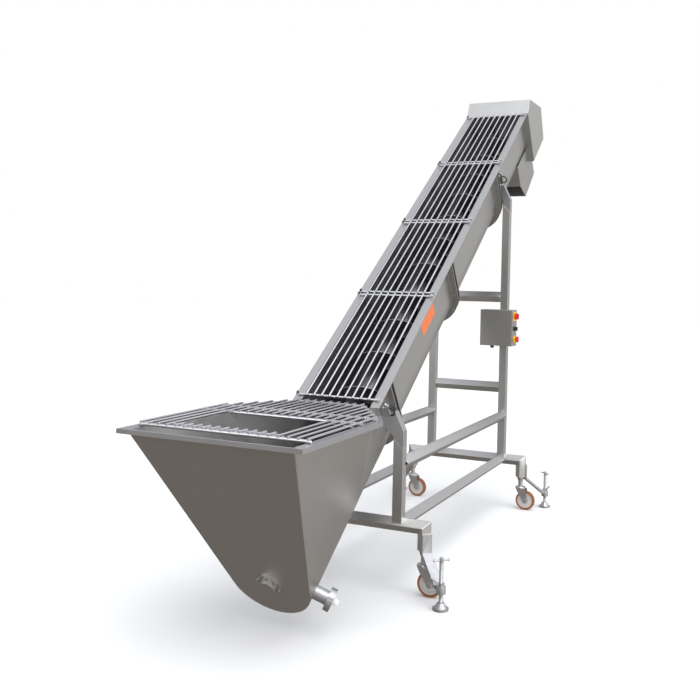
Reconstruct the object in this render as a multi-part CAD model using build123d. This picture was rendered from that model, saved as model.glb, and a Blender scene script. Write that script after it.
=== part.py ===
from build123d import *
from math import asin, atan2, cos, degrees, hypot, radians, sin, sqrt, tan
import os

os.makedirs("parts", exist_ok=True)

# Mobile grain auger: an inclined U-trough screw conveyor on a wheeled tube frame.
# +X runs from the hopper (low end) to the head (high end), +Z is up, Y = 0 is the
# centre plane and Z = 0 is the floor. While it is drawn, X = 0 is the front face of
# the front posts; every piece is written moved along X, so that the origin ends up on
# the floor under the middle of the overall length.

# ---------------------------------------------------------------- frame sizes
tube = 50.0                     # square tube, outside
tube_wall = 3.0
wheelbase = 1850.0              # front face of front posts to front face of rear posts
post_gap = 3.0                  # between a post and the trough bands
base_z = 325.0                  # centre of the lowest tubes
mid_rail_z = 617.0              # centre of the middle side rails
lower_cross_z = 807.0           # centre of the lower rear cross rail
upper_cross_z = 1417.0          # centre of the upper rear cross rail
stub_reach = 135.0              # drop stub centre from the post centre
stub_bottom_z = 215.0
post_top_drop = 50.0            # inner corner of a post below the screw axis
cap_plate = 3.0
socket_plug = 40.0              # castor socket's plug inside a stub
socket_height = 24.0            # castor socket below a stub
socket_low_r = 17.0
socket_top_r = 24.0
bracket_top = 128.0             # bracket's top above a post's
bracket_lip = 42.0              # bracket's top beyond the trough wall
bracket_heel = 34.0             # bracket's outer corner above a post's top
bracket_wall = 8.0
bracket_side = 6.0
cut_len = 200.0                 # a tool that only has to cut right through

# ------------------------------------------------------- trough and screw sizes
incline = 35.0
deck_z = 1047.0                 # trough flange plane above the floor at X = 0
trough_r = 183.0                # inside radius of the round bottom
trough_wall = 3.0
axis_depth = 221.0              # screw axis below the flange plane
flange_width = 44.0             # top flange outside the trough wall
flange_plate = 3.0
trough_joint = 1010.0
trough_end = 2990.0
band_rise = 36.0                # how far a band stands out from the trough
band_plate = 8.0
band_gap = 24.0                 # between the two plates of one band
band_spine = 5.0                # strip that fills a band's gap next to the trough
band_bolt_rise = 21.6           # bolts outside the trough
band_bolt_step = 30             # degrees between bolts
band_bolt_corner = 8.0          # hexagon, centre to corner
band_bolt_head = 7.0
band_bolt_r = 3.9
front_band_u = -45.0
rear_band_gap = 204.0           # rear band below the rear posts' centre, along the incline
front_lug_gap = 105.0           # lifting lug below the front band, along the incline
rear_lug_gap = 75.0             # lifting lug above the rear band
lug_drop = 70.0                 # lug centre below the flange plane
lug_r = 22.0
lug_plate = 12.0
lug_hole_r = 9.0
lug_foot = 60.0
loop_r = 24.0
loop_rod_r = 4.0
flight_clearance = 8.0
screw_pitch = 275.0
flight_turn = -72.0             # degrees, where the flight starts round the shaft
flight_plate = 5.0
shaft_r = 38.0
shaft_bore_r = 30.0
journal_r = 25.0
running_fit = 0.05
body_gap = 0.4                  # between pieces that move against each other
screw_tail_gap = 10.0           # shaft from the hopper's front plate
screw_head_gap = 12.0           # shaft from the head plate
shaft_plug = 40.0               # solid length at each end of the shaft
journal_sink = 2.0
tail_journal_out = 12.0         # tail journal outside the front plate
head_journal_run = 60.0         # head journal beyond the head plate
flight_lead = 15.0              # flight from the shaft's low end
flight_stop = 20.0              # flight short of the outlet's end
bearing_wall = 4.5
bearing_out = 10.0              # tail bearing outside the front plate
bearing_in = 4.0                # tail bearing inside it
plate_hole_gap = 10.0           # hole in the front plate round the journal
head_bearing_gap = 6.0
head_bearing_r = 62.0
head_bearing_len = 20.0
label_u = 596.0
label_depth = 108.0             # label's middle below the flange plane
label_len = 210.0
label_width = 74.0
label_plate = 1.0

# ---------------------------------------------------------------- hopper sizes
hopper_front = -1100.0          # outside of the front plate, along the incline
hopper_wall = 3.0
rim_z = 911.0
rim_rear_x = -557.0
rim_half = 404.0
rim_side_lip = 40.0
rim_front_lip = 16.5
rim_plate = 3.0
rim_fold = 18.0
front_plate = 5.0
wall_stretch = 1.02             # a leaning wall's width when cut square, as a share of its plate
mouth_corner_gap = 18.0         # mouth's rear corners in front of the rim's
rim_heel_gap = 4.0              # rim from the trough's low end
rim_cut_run = 400.0             # how far the rim's hole runs back over the trough
fold_run = 40.0
fold_narrow = 20.0
cap_flange_r = 58.0
cap_flange_t = 8.0
cap_dome_r = 40.0
cap_dome_len = 22.0
cap_bore_r = 30.0
cap_bore_len = 20.0
cap_bolts = 6
cap_bolt_ring = 49.0
cap_bolt_corner = 6.5
cap_bolt_head = 6.0

# ---------------------------------------------------------------- guards
bar_pitch = 41.0
bar_d = 10.0
cross_bar_d = 12.0
weld_sink = 3.0                 # how far a bar is sunk into the bar it crosses
grille_bars = 9
grille_low_gap = 32.0           # guard end from the trough's low end
grille_high_gap = 15.0          # guard end from the trough's high end
grille_joints = (665.0, 1440.0, 2210.0)
grille_split = 6.0
grille_seat = 20.0              # how far a cross bar reaches over the flange
grating_bars = 19
window_bars = 13                # bars interrupted by the filling window
grating_front_gap = 108.0       # first cross bar from the rim's front edge
window_front_gap = 153.0        # window edge from the rim's front edge
window_rear_gap = 143.0         # window edge from the rim's rear corners
grating_rear_gap = 28.0         # last cross bar from the trough's low end
grating_narrow = 19.0           # grating's rear corners inside the trough wall
grating_frame_d = 14.0
knob_r = 11.0
grating_seat_gap = 0.05         # under the grating's frame bars
clamp_len = 18.0
clamp_size = 16.0
clamp_gap = 0.2
front_rod_over = 16.0           # front rod beyond the outer bars, to its knobs
window_rod_over = 6.0
corner_rod_over = 4.0
rear_rod_over = 6.0
rear_rod_inset = 8.0
corner_over = 10.0              # grating's wide corners behind the rim's
bar_overhang = 8.0              # bars in front of the front rod
window_overhang = 6.0           # cut bars past the window's rods

# ---------------------------------------------------------------- head and drive
outlet_len = 285.0
outlet_end_gap = 15.0           # outlet from the trough's high end
chute_wall = 3.0
chute_drop = 33.0               # front of the mouth below the trough
chute_lip_run = 100.0           # from the front of the mouth to its lip
chute_lip_drop = 173.0          # lip below the trough
chute_back_run = 120.0          # back of the chute beyond the trough's high end
chute_back_drop = 148.0
head_plate_t = 6.0
hood_len = 384.0
hood_depth = 390.0
hood_wall = 2.0
hood_overhang = 2.0             # hood outside the trough flange
hood_rise_run = 105.0
hood_rise = 60.0
hood_nose = 18.0                # how far the end face leans out
hood_slope_depth = 136.0
hood_heel = 20.0
hood_heel_rise = 8.0
hood_open = 20.0                # tool run-out at the hood's open side
hood_open_drop = 14.0
head_plate_inset = 2.0
head_hole_gap = 6.0
outlet_top = 80.0               # outlet's upper edge below the screw axis
chute_top = 60.0                # chute's upper edge below the screw axis
chute_cut_run = 12.0
chute_lip_front = 6.0
chute_lip_back = 4.0
chute_lip_thin = 0.2
chute_hood_gap = 0.5
chute_back_gap = 0.2
gearbox_d = 190.0
gearbox_len = 150.0
motor_d = 150.0
motor_len = 190.0
gear_bore_end = 110.0           # end of the gearbox's bore behind the head plate
terminal_u = 90.0
terminal_len = 80.0
terminal_height = 34.0
terminal_sink = 5.0

# ---------------------------------------------------------------- castors, jacks
wheel_d = 125.0
wheel_width = 32.0
trail = 35.0
stem_r = 10.0
stem_grip = 30.0
fork_plate = 5.0
fork_side_gap = 4.0
crown_d = 66.0
crown_z = 140.0
crown_height = 14.0
axle_r = 6.0
crown_round = 8.0
bridge_plate = 6.0
bridge_back = 8.0
bridge_inset = 12.0
fork_sink = 1.0
neck_r = 14.0
leg_front = 24.0                # fork leg at the crown, ahead of the stem
leg_back = 38.0
leg_knee = 14.0
leg_knee_drop = 22.0
eye_half = 15.0                 # fork leg round the axle
eye_side = 11.0
eye_drop = 10.0
eye_rise_back = 6.0
eye_rise_front = 4.0
axle_over = 6.0
axle_head_r = 10.0
axle_head = 4.0
tyre_round = 6.0
dish_rim = 19.0                 # wheel's rim, from the outside to the dish
dish_in_r = 20.0
dish_depth = 6.0
hub_r = 18.0
jack_reach = 191.0              # jack screw from the stub centre
jack_arm_width = 50.0
jack_arm_plate = 10.0
jack_arm_top_z = 300.0
boss_d = 44.0
boss_z = 75.0
boss_height = 34.0
spindle_r = 10.0
spindle_top_z = 240.0
tommy_z = 228.0
tommy_d = 8.0
tommy_len = 72.0
foot_d = 75.0
foot_plate = 10.0
foot_neck_d = 32.0
foot_height = 34.0
pin_r = 7.0
lever_nut_d = 32.0
lever_nut_height = 14.0
lever_reach = 33.0
lever_rise = 32.0
lever_r = 4.0
lever_sink = 4.0
lever_ball_r = 7.0
jack_arm_sink = 3.0             # arm's end inside the boss
jack_arm_root = 16.0            # arm's underside above the boss's
jack_fold_out = 2.0             # where the arm turns outwards, below the stub
jack_fold_in = 10.0
foot_lip = 8.0
foot_floor = 12.0
pin_top = 60.0
spindle_chamfer = 2.0
tommy_knob_r = 6.0
tommy_knob_len = 8.0

# ---------------------------------------------------------------- control box
box_width = 215.0
box_depth = 120.0
box_height = 238.0
box_bottom_z = 1095.0
box_reach = 90.0                # box face from the post centre
box_wall = 2.0
isolator_z = 1291.0
selector_z = 1210.0
stop_z = 1140.0
lid_t = 3.0
shaft_hole_r = 11.0
knob_bore_r = 8.0
stalk_gap = 0.5
stalk_len = 24.0
stalk_in = 14.0                 # stalk's end behind the lid's face
gland_back = 40.0               # gland behind the middle of the box
gland_hole_r = 8.0
gland_fit = 0.1
gland_r = 12.0
gland_len = 18.0
gland_neck = 9.0
gland_neck_sink = 1.0
gland_bore_r = 5.0
isolator_plate_size = 62.0
isolator_plate_t = 3.0
isolator_r = 20.0
isolator_base = 12.0
isolator_grip = 14.0
isolator_grip_len = 38.0
ring_r = 15.0
ring_t = 6.0
selector_r = 13.0
selector_base = 8.0
selector_grip_width = 7.0
selector_grip = 10.0
selector_grip_len = 25.0
selector_grip_sink = 1.0
isolator_grip_sink = 1.0
collar_r = 24.0
collar_t = 10.0
stop_travel_gap = 7.0
stop_r = 20.0
stop_head = 14.0
stop_round = 5.0
stop_stalk_len = 28.0
stop_stalk_in = 8.0
block_width = 46.0
block_depth = 44.0
block_height = 40.0
block_back = 46.0               # contact blocks' middle behind the lid's face

# ---------------------------------------------------------------- drain
drain_u = -1035.0
drain_dip = 30.0                # degrees below level, round the screw axis
drain_r = 30.0
drain_wall = 2.5
drain_len = 70.0
nut_r = 50.0
nut_len = 26.0
nut_slots = 6
nut_slot = 12.0
nut_grip = 14.0                 # how far the nut covers the pipe
nut_face = 7.5
nut_mouth_r = 18.0
pipe_sink = 16.0
plug_gap = 1.0
plug_foot_r = 25.0
plug_foot_low = 6.5
plug_foot_high = 2.5
plug_r = 16.0
plug_low_end = 5.0
plug_high_end = 29.0
plug_tip_r = 10.0
plug_tip_len = 10.0
plug_tip_sink = 3.0

slope = radians(incline)
front_x = tube / 2
rear_x = wheelbase + tube / 2
flight_r = trough_r - flight_clearance
trough_out_r = trough_r + trough_wall
flange_half = trough_out_r + flange_width
post_y = trough_out_r + band_rise + post_gap + tube / 2
stub_y = post_y + stub_reach
box_outer_y = -(post_y + box_reach)
trough_start = (rim_z - deck_z) / sin(slope)
rear_band_u = rear_x / cos(slope) - rear_band_gap
band_at = (front_band_u, trough_joint, rear_band_u)
lug_at = (front_band_u - front_lug_gap, rear_band_u + rear_lug_gap)
grille_half = trough_out_r + grille_seat
grille_stations = (trough_start + grille_low_gap,) + grille_joints + (trough_end - grille_high_gap,)
outlet_end = trough_end - outlet_end_gap
outlet_start = outlet_end - outlet_len
trough_depth = axis_depth + trough_out_r
chute_front_depth = trough_depth + chute_drop
chute_lip_u = outlet_start + chute_lip_run
chute_lip_depth = trough_depth + chute_lip_drop
chute_back_u = trough_end + chute_back_run
chute_back_depth = trough_depth + chute_back_drop
hood_start = trough_end + head_plate_t
hood_end = hood_start + hood_len
hood_half = flange_half + hood_overhang
hood_rise_u = hood_start + hood_rise_run
hood_slope_u = hood_end + hood_nose
deck = Pos(0, 0, deck_z) * Rot(0, -incline, 0)
corner_signs = ((-1, -1), (-1, 1), (1, -1), (1, 1))
corner_names = ("front_right", "front_left", "rear_right", "rear_left")


nodes = {}


def save(node, solids):
    """Keep a node's solids until everything is drawn."""
    items = solids if isinstance(solids, list) else [solids]
    flat = []
    for item in items:
        flat.extend(item.solids())
    nodes[node] = flat


def write_nodes():
    """Write each node, with the origin under the middle of the overall length."""
    low_x = nodes["hopper_rim"][0].bounding_box().min.X
    high_x = nodes["drive_hood"][0].bounding_box().max.X
    middle = Pos(-(low_x + high_x) / 2, 0, 0)
    for node, flat in nodes.items():
        moved = [middle * solid for solid in flat]
        shape = moved[0] if len(moved) == 1 else Compound(children=moved)
        export_step(shape, "parts/" + node + ".step")
    print("origin is at X =", round((low_x + high_x) / 2, 4), "of the drawing")


def axis_z(x):
    """Height of the screw axis above the floor at X = x."""
    return deck_z - axis_depth / cos(slope) + x * tan(slope)


def rim_u(x):
    """Distance along the incline of a point of the rim plane."""
    return x * cos(slope) + (rim_z - deck_z) * sin(slope)


def rim_w(x):
    """Height above the flange plane of a point of the rim plane."""
    return -x * sin(slope) + (rim_z - deck_z) * cos(slope)


def prism_y(points, y0, y1):
    """Solid between y0 and y1 with an outline of (x, z) points."""
    face = Plane.XZ * make_face(Polyline(*points, close=True))
    return Pos(0, y1, 0) * extrude(face, amount=y1 - y0)


def prism_x(points, x0, x1):
    """Solid between x0 and x1 with an outline of (y, z) points."""
    face = Plane.YZ * make_face(Polyline(*points, close=True))
    return Pos(x0, 0, 0) * extrude(face, amount=x1 - x0)


def prism_z(points, z0, z1):
    """Solid between z0 and z1 with an outline of (x, y) points."""
    face = make_face(Polyline(*points, close=True))
    return Pos(0, 0, z0) * extrude(face, amount=z1 - z0)


def rod(a, b, r):
    """Round rod between two points."""
    start = Vector(*a)
    end = Vector(*b)
    run = end - start
    circle = Plane(origin=start, z_dir=run) * Circle(r)
    return extrude(circle, amount=run.length)


def on_axis(r, u0, u1):
    """Round solid on the screw axis between two distances along the incline."""
    return Pos((u0 + u1) / 2, 0, -axis_depth) * Rot(0, 90, 0) * Cylinder(r, u1 - u0)


def upright(r, z0, z1):
    """Round solid on the Z axis between two heights."""
    return Pos(0, 0, (z0 + z1) / 2) * Cylinder(r, z1 - z0)


def facing(r, y0, y1, z):
    """Round solid through the control box's lid between two places across the machine."""
    return Pos(box_x, (y0 + y1) / 2, z) * Rot(90, 0, 0) * Cylinder(r, y1 - y0)


def tube_x(x0, x1, y, z, size):
    """Square bar on edge along X."""
    return Pos((x0 + x1) / 2, y, z) * Rot(45, 0, 0) * Box(x1 - x0, size, size)


def tube_y(y0, y1, x, z, size):
    """Square bar on edge along Y."""
    return Pos(x, (y0 + y1) / 2, z) * Rot(0, 45, 0) * Box(size, y1 - y0, size)


# ================================================================ frame
def base_tube(x, size):
    """Cross tube turned on edge, mitred into a drop stub at each end."""
    path = Polyline(
        (x, -stub_y, stub_bottom_z),
        (x, -stub_y, base_z),
        (x, stub_y, base_z),
        (x, stub_y, stub_bottom_z),
    )
    start = Plane(origin=(x, -stub_y, stub_bottom_z), x_dir=(1, 0, 0), z_dir=(0, 0, 1))
    profile = start * Rot(0, 0, 45) * Rectangle(size, size)
    return sweep(profile, path=path, transition=Transition.RIGHT)


base_filled = [base_tube(x, tube) for x in (front_x, rear_x)]
base_hollow = [base_tube(x, tube - 2 * tube_wall) for x in (front_x, rear_x)]
save("base_tubes", [f - h for f, h in zip(base_filled, base_hollow)])


def post_outline(side, top_z, inset):
    """Post cut slanting at its top, in (y, z). An inset outline runs out through the top."""
    inner = side * (post_y - tube / 2 + inset)
    outer = side * (post_y + tube / 2 - inset)
    drop = tube - 2 * inset
    high = top_z + inset
    return [(inner, base_z), (inner, high), (outer, high - drop), (outer, base_z)]


posts = []
posts_filled = []
post_tops = []
for x, base in ((front_x, base_filled[0]), (rear_x, base_filled[1])):
    for side in (-1, 1):
        top = axis_z(x) - post_top_drop
        solid = prism_x(post_outline(side, top, 0), x - tube / 2, x + tube / 2)
        inset = tube_wall
        core = prism_x(post_outline(side, top, inset), x - tube / 2 + inset, x + tube / 2 - inset)
        posts_filled.append(solid)
        posts.append(solid - core - base)
        post_tops.append((x, side, top))
save("posts", posts)

caps = []
for x, side, top in post_tops:
    y_in = side * (post_y - tube / 2)
    y_out = side * (post_y + tube / 2)
    rise = cap_plate * sqrt(2)
    outline = [(y_in, top), (y_in, top + rise), (y_out, top - tube + rise), (y_out, top - tube)]
    caps.append(prism_x(outline, x - tube / 2, x + tube / 2))
save("post_caps", caps)

post_in = post_y - tube / 2
cross_rails = []
for z in (lower_cross_z, upper_cross_z):
    outer = tube_y(-post_in, post_in, rear_x, z, tube)
    inner = tube_y(-post_in, post_in, rear_x, z, tube - 2 * tube_wall)
    cross_rails.append(outer - inner)
save("rear_cross_rails", cross_rails)

side_rails = []
for side in (-1, 1):
    for z in (base_z, mid_rail_z):
        y = side * post_y
        outer = tube_x(front_x, rear_x, y, z, tube)
        inner = tube_x(front_x, rear_x, y, z, tube - 2 * tube_wall)
        rail = outer - inner
        for cut in posts_filled + base_filled:
            rail = rail - cut
        rail = rail & Pos((front_x + rear_x) / 2, y, z) * Box(wheelbase - tube, 2 * tube, 2 * tube)
        side_rails.append(rail)
save("side_rails", side_rails)

sockets = []
for sx, sy in corner_signs:
    x = front_x if sx < 0 else rear_x
    y = sy * stub_y
    plug_size = tube - 2 * tube_wall
    plug = Pos(x, y, stub_bottom_z + socket_plug / 2) * Rot(0, 0, 45) * Box(plug_size, plug_size, socket_plug)
    collar = Pos(x, y, stub_bottom_z - socket_height / 2) * Cone(socket_low_r, socket_top_r, socket_height)
    bore = Pos(x, y, stub_bottom_z) * Cylinder(stem_r + running_fit, cut_len)
    sockets.append(plug + collar - bore)
save("castor_sockets", sockets)


def at_corner(sx, sy, shape):
    """Place a shape built at a stub's centre with +X pointing diagonally outwards."""
    x = front_x if sx < 0 else rear_x
    heading = degrees(atan2(sy, sx))
    return Pos(x, sy * stub_y, 0) * Rot(0, 0, heading) * shape


jack_arms = []
for sx, sy in corner_signs:
    face = tube / 2
    outer = face + jack_arm_plate
    top = jack_arm_top_z
    bend = stub_bottom_z
    reach = jack_reach - boss_d / 2 + jack_arm_sink
    outline = [
        (face, top),
        (outer, top),
        (outer, bend - jack_fold_out),
        (reach, boss_z + boss_height),
        (reach, boss_z + jack_arm_root),
        (face, bend - jack_fold_in),
    ]
    arm = prism_y(outline, -jack_arm_width / 2, jack_arm_width / 2)
    boss = Pos(jack_reach, 0, boss_z + boss_height / 2) * Cylinder(boss_d / 2, boss_height)
    bore = Pos(jack_reach, 0, boss_z) * Cylinder(spindle_r + running_fit, cut_len)
    jack_arms.append(at_corner(sx, sy, arm + boss - bore))
save("jack_arms", jack_arms)


# ================================================================ castors and jacks
def castor(name, x, y):
    """Swivel fork with its stem and axle, and the wheel that turns on the axle."""
    wheel_r = wheel_d / 2
    leg_in = wheel_width / 2 + fork_side_gap
    leg_out = leg_in + fork_plate
    leg_top = crown_z + fork_sink
    crown = upright(crown_d / 2, crown_z, crown_z + crown_height)
    crown = fillet(crown.edges().group_by(Axis.Z)[-1], crown_round)
    bridge = Box(2 * leg_out, crown_d - bridge_inset, bridge_plate)
    bridge = Pos(0, -bridge_back, leg_top - bridge_plate / 2) * bridge
    neck = upright(neck_r, crown_z + crown_height / 2, stub_bottom_z - socket_height - body_gap)
    stem = upright(stem_r, crown_z, stub_bottom_z + stem_grip)
    fork = crown + bridge + neck + stem
    for side in (-1, 1):
        outline = [
            (leg_front, leg_top),
            (-leg_back, leg_top),
            (-trail - eye_half, wheel_r + eye_rise_back),
            (-trail - eye_side, wheel_r - eye_drop),
            (-trail, wheel_r - eye_half),
            (-trail + eye_side, wheel_r - eye_drop),
            (-trail + eye_half, wheel_r + eye_rise_front),
            (leg_knee, crown_z - leg_knee_drop),
        ]
        low = side * leg_in if side > 0 else -leg_out
        high = low + fork_plate
        fork = fork + prism_x(outline, low, high)
    axle = Pos(0, -trail, wheel_r) * Rot(0, 90, 0) * Cylinder(axle_r, 2 * (leg_out + axle_over))
    head = Pos(0, -trail, wheel_r) * Rot(0, 90, 0) * Cylinder(axle_head_r, 2 * (leg_out + axle_head))
    head = head - Pos(0, -trail, wheel_r) * Box(2 * leg_out, wheel_d, wheel_d)
    fork = fork + axle + head
    tyre = Rot(0, 90, 0) * Cylinder(wheel_r, wheel_width)
    tyre = fillet(tyre.edges().filter_by(GeomType.CIRCLE), tyre_round)
    dish = Rot(0, 90, 0) * (Cylinder(wheel_r - dish_rim, wheel_width) - Cylinder(dish_in_r, wheel_width))
    dish = dish - Box(wheel_width - 2 * dish_depth, wheel_d, wheel_d)
    hub = Rot(0, 90, 0) * Cylinder(hub_r, wheel_width + 2 * fork_side_gap - 2 * body_gap)
    bore = Rot(0, 90, 0) * Cylinder(axle_r + running_fit, cut_len)
    wheel = Pos(0, -trail, wheel_r) * (tyre - dish + hub - bore)
    save("castor_fork_" + name, Pos(x, y, 0) * fork)
    save("castor_wheel_" + name, Pos(x, y, 0) * wheel)


def jack(name, sx, sy):
    """Foot pad, screw with a tommy bar, and the lever nut that locks the screw."""
    neck_height = foot_height - foot_plate
    neck = Cone(foot_d / 2 - foot_lip, foot_neck_d / 2, neck_height)
    pad = upright(foot_d / 2, 0, foot_plate) + Pos(0, 0, foot_plate + neck_height / 2) * neck
    pad = pad - upright(pin_r + running_fit, foot_floor, foot_height + foot_floor)
    pin = upright(pin_r, foot_floor + body_gap, pin_top)
    thread = upright(spindle_r, foot_height + body_gap, spindle_top_z)
    thread = chamfer(thread.edges().group_by(Axis.Z)[-1], spindle_chamfer)
    tommy = Pos(0, 0, tommy_z) * Rot(90, 0, 0) * Cylinder(tommy_d / 2, tommy_len)
    ends = [
        Pos(0, s * tommy_len / 2, tommy_z) * Rot(90, 0, 0) * Cylinder(tommy_knob_r, tommy_knob_len)
        for s in (-1, 1)
    ]
    spindle = pin + thread + tommy + ends[0] + ends[1]
    nut_z = boss_z + boss_height + body_gap
    nut = upright(lever_nut_d / 2, nut_z, nut_z + lever_nut_height)
    root = (0, -lever_nut_d / 2 + lever_sink, nut_z + lever_nut_height / 2)
    tip = (0, -lever_nut_d / 2 - lever_reach, nut_z + lever_nut_height / 2 + lever_rise)
    lever = nut + rod(root, tip, lever_r) + Pos(*tip) * Sphere(lever_ball_r)
    lever = lever - Pos(0, 0, nut_z) * Cylinder(spindle_r + running_fit, cut_len)
    here = Pos(jack_reach, 0, 0)
    save("jack_foot_" + name, at_corner(sx, sy, here * pad))
    save("jack_screw_" + name, at_corner(sx, sy, here * spindle))
    save("jack_lever_" + name, at_corner(sx, sy, here * lever))


for name, (sx, sy) in zip(corner_names, corner_signs):
    castor(name, front_x if sx < 0 else rear_x, sy * stub_y)
    jack(name, sx, sy)


# ================================================================ trough
def u_strip(r_in, r_out, top, rim=0.0, rim_plate_t=0.0):
    """Outline of a U wall, in (y, w), round the screw axis and up to the flange plane."""
    c = -axis_depth
    with BuildLine() as line:
        if rim > 0:
            l1 = Polyline((-r_in, top), (-rim, top), (-rim, top - rim_plate_t), (-r_out, top - rim_plate_t))
        else:
            l1 = Polyline((-r_in, top), (-r_out, top))
        Line(l1 @ 1, (-r_out, c))
        ThreePointArc((-r_out, c), (0, c - r_out), (r_out, c))
        if rim > 0:
            flange = ((rim, top - rim_plate_t), (rim, top), (r_in, top))
            l2 = Polyline((r_out, c), (r_out, top - rim_plate_t), *flange)
        else:
            l2 = Polyline((r_out, c), (r_out, top), (r_in, top))
        Line((r_in, top), (r_in, c))
        ThreePointArc((r_in, c), (0, c - r_in), (-r_in, c))
        Line((-r_in, c), (-r_in, top))
    return make_face(line.line)


def along(face, u0, u1):
    """Extrude a (y, w) outline between two distances along the incline."""
    return Pos(u0, 0, 0) * extrude(Plane.YZ * face, amount=u1 - u0)


trough_face = u_strip(trough_r, trough_out_r, 0, flange_half, flange_plate)
save("trough_lower", deck * along(trough_face, trough_start, trough_joint))
upper = along(trough_face, trough_joint, trough_end)
outlet = Box(outlet_len, 3 * trough_out_r, 2 * (trough_out_r - outlet_top))
outlet = Pos(outlet_start + outlet_len / 2, 0, -axis_depth - trough_out_r) * outlet
save("trough_upper", deck * (upper - outlet))

band_face = u_strip(trough_out_r, trough_out_r + band_rise, -flange_plate)
bands = []
for u in band_at:
    for start in (u - band_gap / 2 - band_plate, u + band_gap / 2):
        bands.append(deck * along(band_face, start, start + band_plate))
    if u == trough_joint:
        continue
    spine_face = u_strip(trough_out_r, trough_out_r + band_spine, -flange_plate)
    bands.append(deck * along(spine_face, u - band_gap / 2, u + band_gap / 2))
save("trough_bands", bands)

bolts = []
for angle in range(0, 181, band_bolt_step):
    a = radians(180 + angle)
    r = trough_out_r + band_bolt_rise
    across = Pos(trough_joint, r * cos(a), -axis_depth + r * sin(a)) * Rot(0, 90, 0)
    hexagon = extrude(RegularPolygon(band_bolt_corner, 6), amount=band_bolt_head / 2, both=True)
    for side in (-1, 1):
        seat = side * (band_gap / 2 + band_plate + band_bolt_head / 2)
        bolts.append(deck * across * Pos(0, 0, seat) * hexagon)
    bolts.append(deck * across * Cylinder(band_bolt_r, band_gap))
save("band_bolts", bolts)

brackets = []
lugs = []
loops = []
for x, side, top in post_tops:
    rise = cap_plate * sqrt(2)
    wall_y = trough_out_r
    out_y = post_y + tube / 2
    in_y = post_y - tube / 2
    step = in_y - wall_y
    outline = [
        (side * out_y, top - tube + rise),
        (side * in_y, top + rise),
        (side * wall_y, top + rise + step),
        (side * wall_y, top + bracket_top),
        (side * (wall_y + bracket_lip), top + bracket_top),
        (side * out_y, top + bracket_heel),
    ]
    body = prism_x(outline, x - tube / 2, x + tube / 2)
    band_u = band_at[0] if x < wheelbase / 2 else band_at[2]
    span = band_gap + 2 * band_plate + 1
    clear = Box(span, 2 * (trough_out_r + band_rise) + 1, 3 * trough_out_r)
    clear = deck * Pos(band_u, 0, -axis_depth) * clear
    hollow = [
        (side * (out_y - bracket_wall), top - tube + 3 * bracket_wall),
        (side * (in_y - 2), top + 20),
        (side * (wall_y + bracket_wall), top + 7 * bracket_wall),
        (side * (wall_y + bracket_wall), top + bracket_top - 10),
        (side * (wall_y + bracket_lip - 4), top + bracket_top - 10),
        (side * (out_y - bracket_wall), top + bracket_heel - 6),
    ]
    pocket = prism_x(hollow, x - tube / 2 + bracket_side, x + tube / 2 - bracket_side)
    brackets.append(body - pocket - clear - deck * on_axis(trough_out_r, trough_start, trough_end))
save("post_brackets", brackets)

lug_y = trough_out_r + lug_r
for u in lug_at:
    for side in (-1, 1):
        disc = Cylinder(lug_r, lug_plate)
        foot = Pos(lug_foot / 2, 0, 0) * Box(lug_foot, 2 * lug_r, lug_plate)
        lug = Pos(u, side * lug_y, -lug_drop) * Rot(0, 90, 0) * (disc + foot)
        lug = lug - Pos(u, side * lug_y, -lug_drop) * Rot(0, 90, 0) * Cylinder(lug_hole_r, cut_len)
        lugs.append(deck * lug)
        edge = trough_out_r + 2 * lug_r
        ring = Pos(u, side * edge, -lug_drop - lug_foot / 2) * Rot(0, 90, 0) * Torus(loop_r, loop_rod_r)
        keep = Box(4 * loop_r, 4 * loop_r, 4 * loop_r)
        keep = Pos(u, side * (edge + 2 * loop_r), -lug_drop - lug_foot / 2) * keep
        loops.append(deck * (ring & keep))
save("lifting_lugs", lugs)
save("lifting_loops", loops)

label = Box(label_len, label_plate, label_width)
save("side_label", deck * Pos(label_u, -trough_out_r - label_plate / 2, -label_depth) * label)


# ================================================================ hopper
def hopper_strip(u, half_top, w_top, outer):
    """Open section of the hopper wall at one place along the incline."""
    r = trough_out_r if outer else trough_r
    half = half_top if outer else half_top - hopper_wall * wall_stretch
    centre = -axis_depth
    rise = w_top - centre
    reach = hypot(half, rise)
    lean = atan2(half, rise)
    turn = asin(min(1.0, r / reach))
    tangent = lean - turn
    ty = r * cos(tangent)
    tw = centre - r * sin(tangent)
    return half, ty, tw, r


def hopper_section(u, half_top, w_top, outer):
    """Filled section of the hopper: round bottom with tangent sides up to the rim plane."""
    centre = -axis_depth
    half, ty, tw, r = hopper_strip(u, half_top, w_top, outer)
    if not outer:
        lift = 30.0
        half = half + lift * (half - ty) / (w_top - tw)
        w_top = w_top + lift
    with BuildLine() as line:
        Line((half, w_top), (-half, w_top))
        Line((-half, w_top), (-ty, tw))
        ThreePointArc((-ty, tw), (0, centre - r), (ty, tw))
        Line((ty, tw), (half, w_top))
    return Pos(u, 0, 0) * (Plane.YZ * make_face(line.line))


def hopper_part(stations):
    """One stretch of the hopper's wall, and the same stretch filled."""
    outer = loft([hopper_section(u, half, w, True) for u, half, w in stations], ruled=True)
    inner = loft([hopper_section(u, half, w, False) for u, half, w in stations], ruled=True)
    return outer - inner, outer


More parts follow.
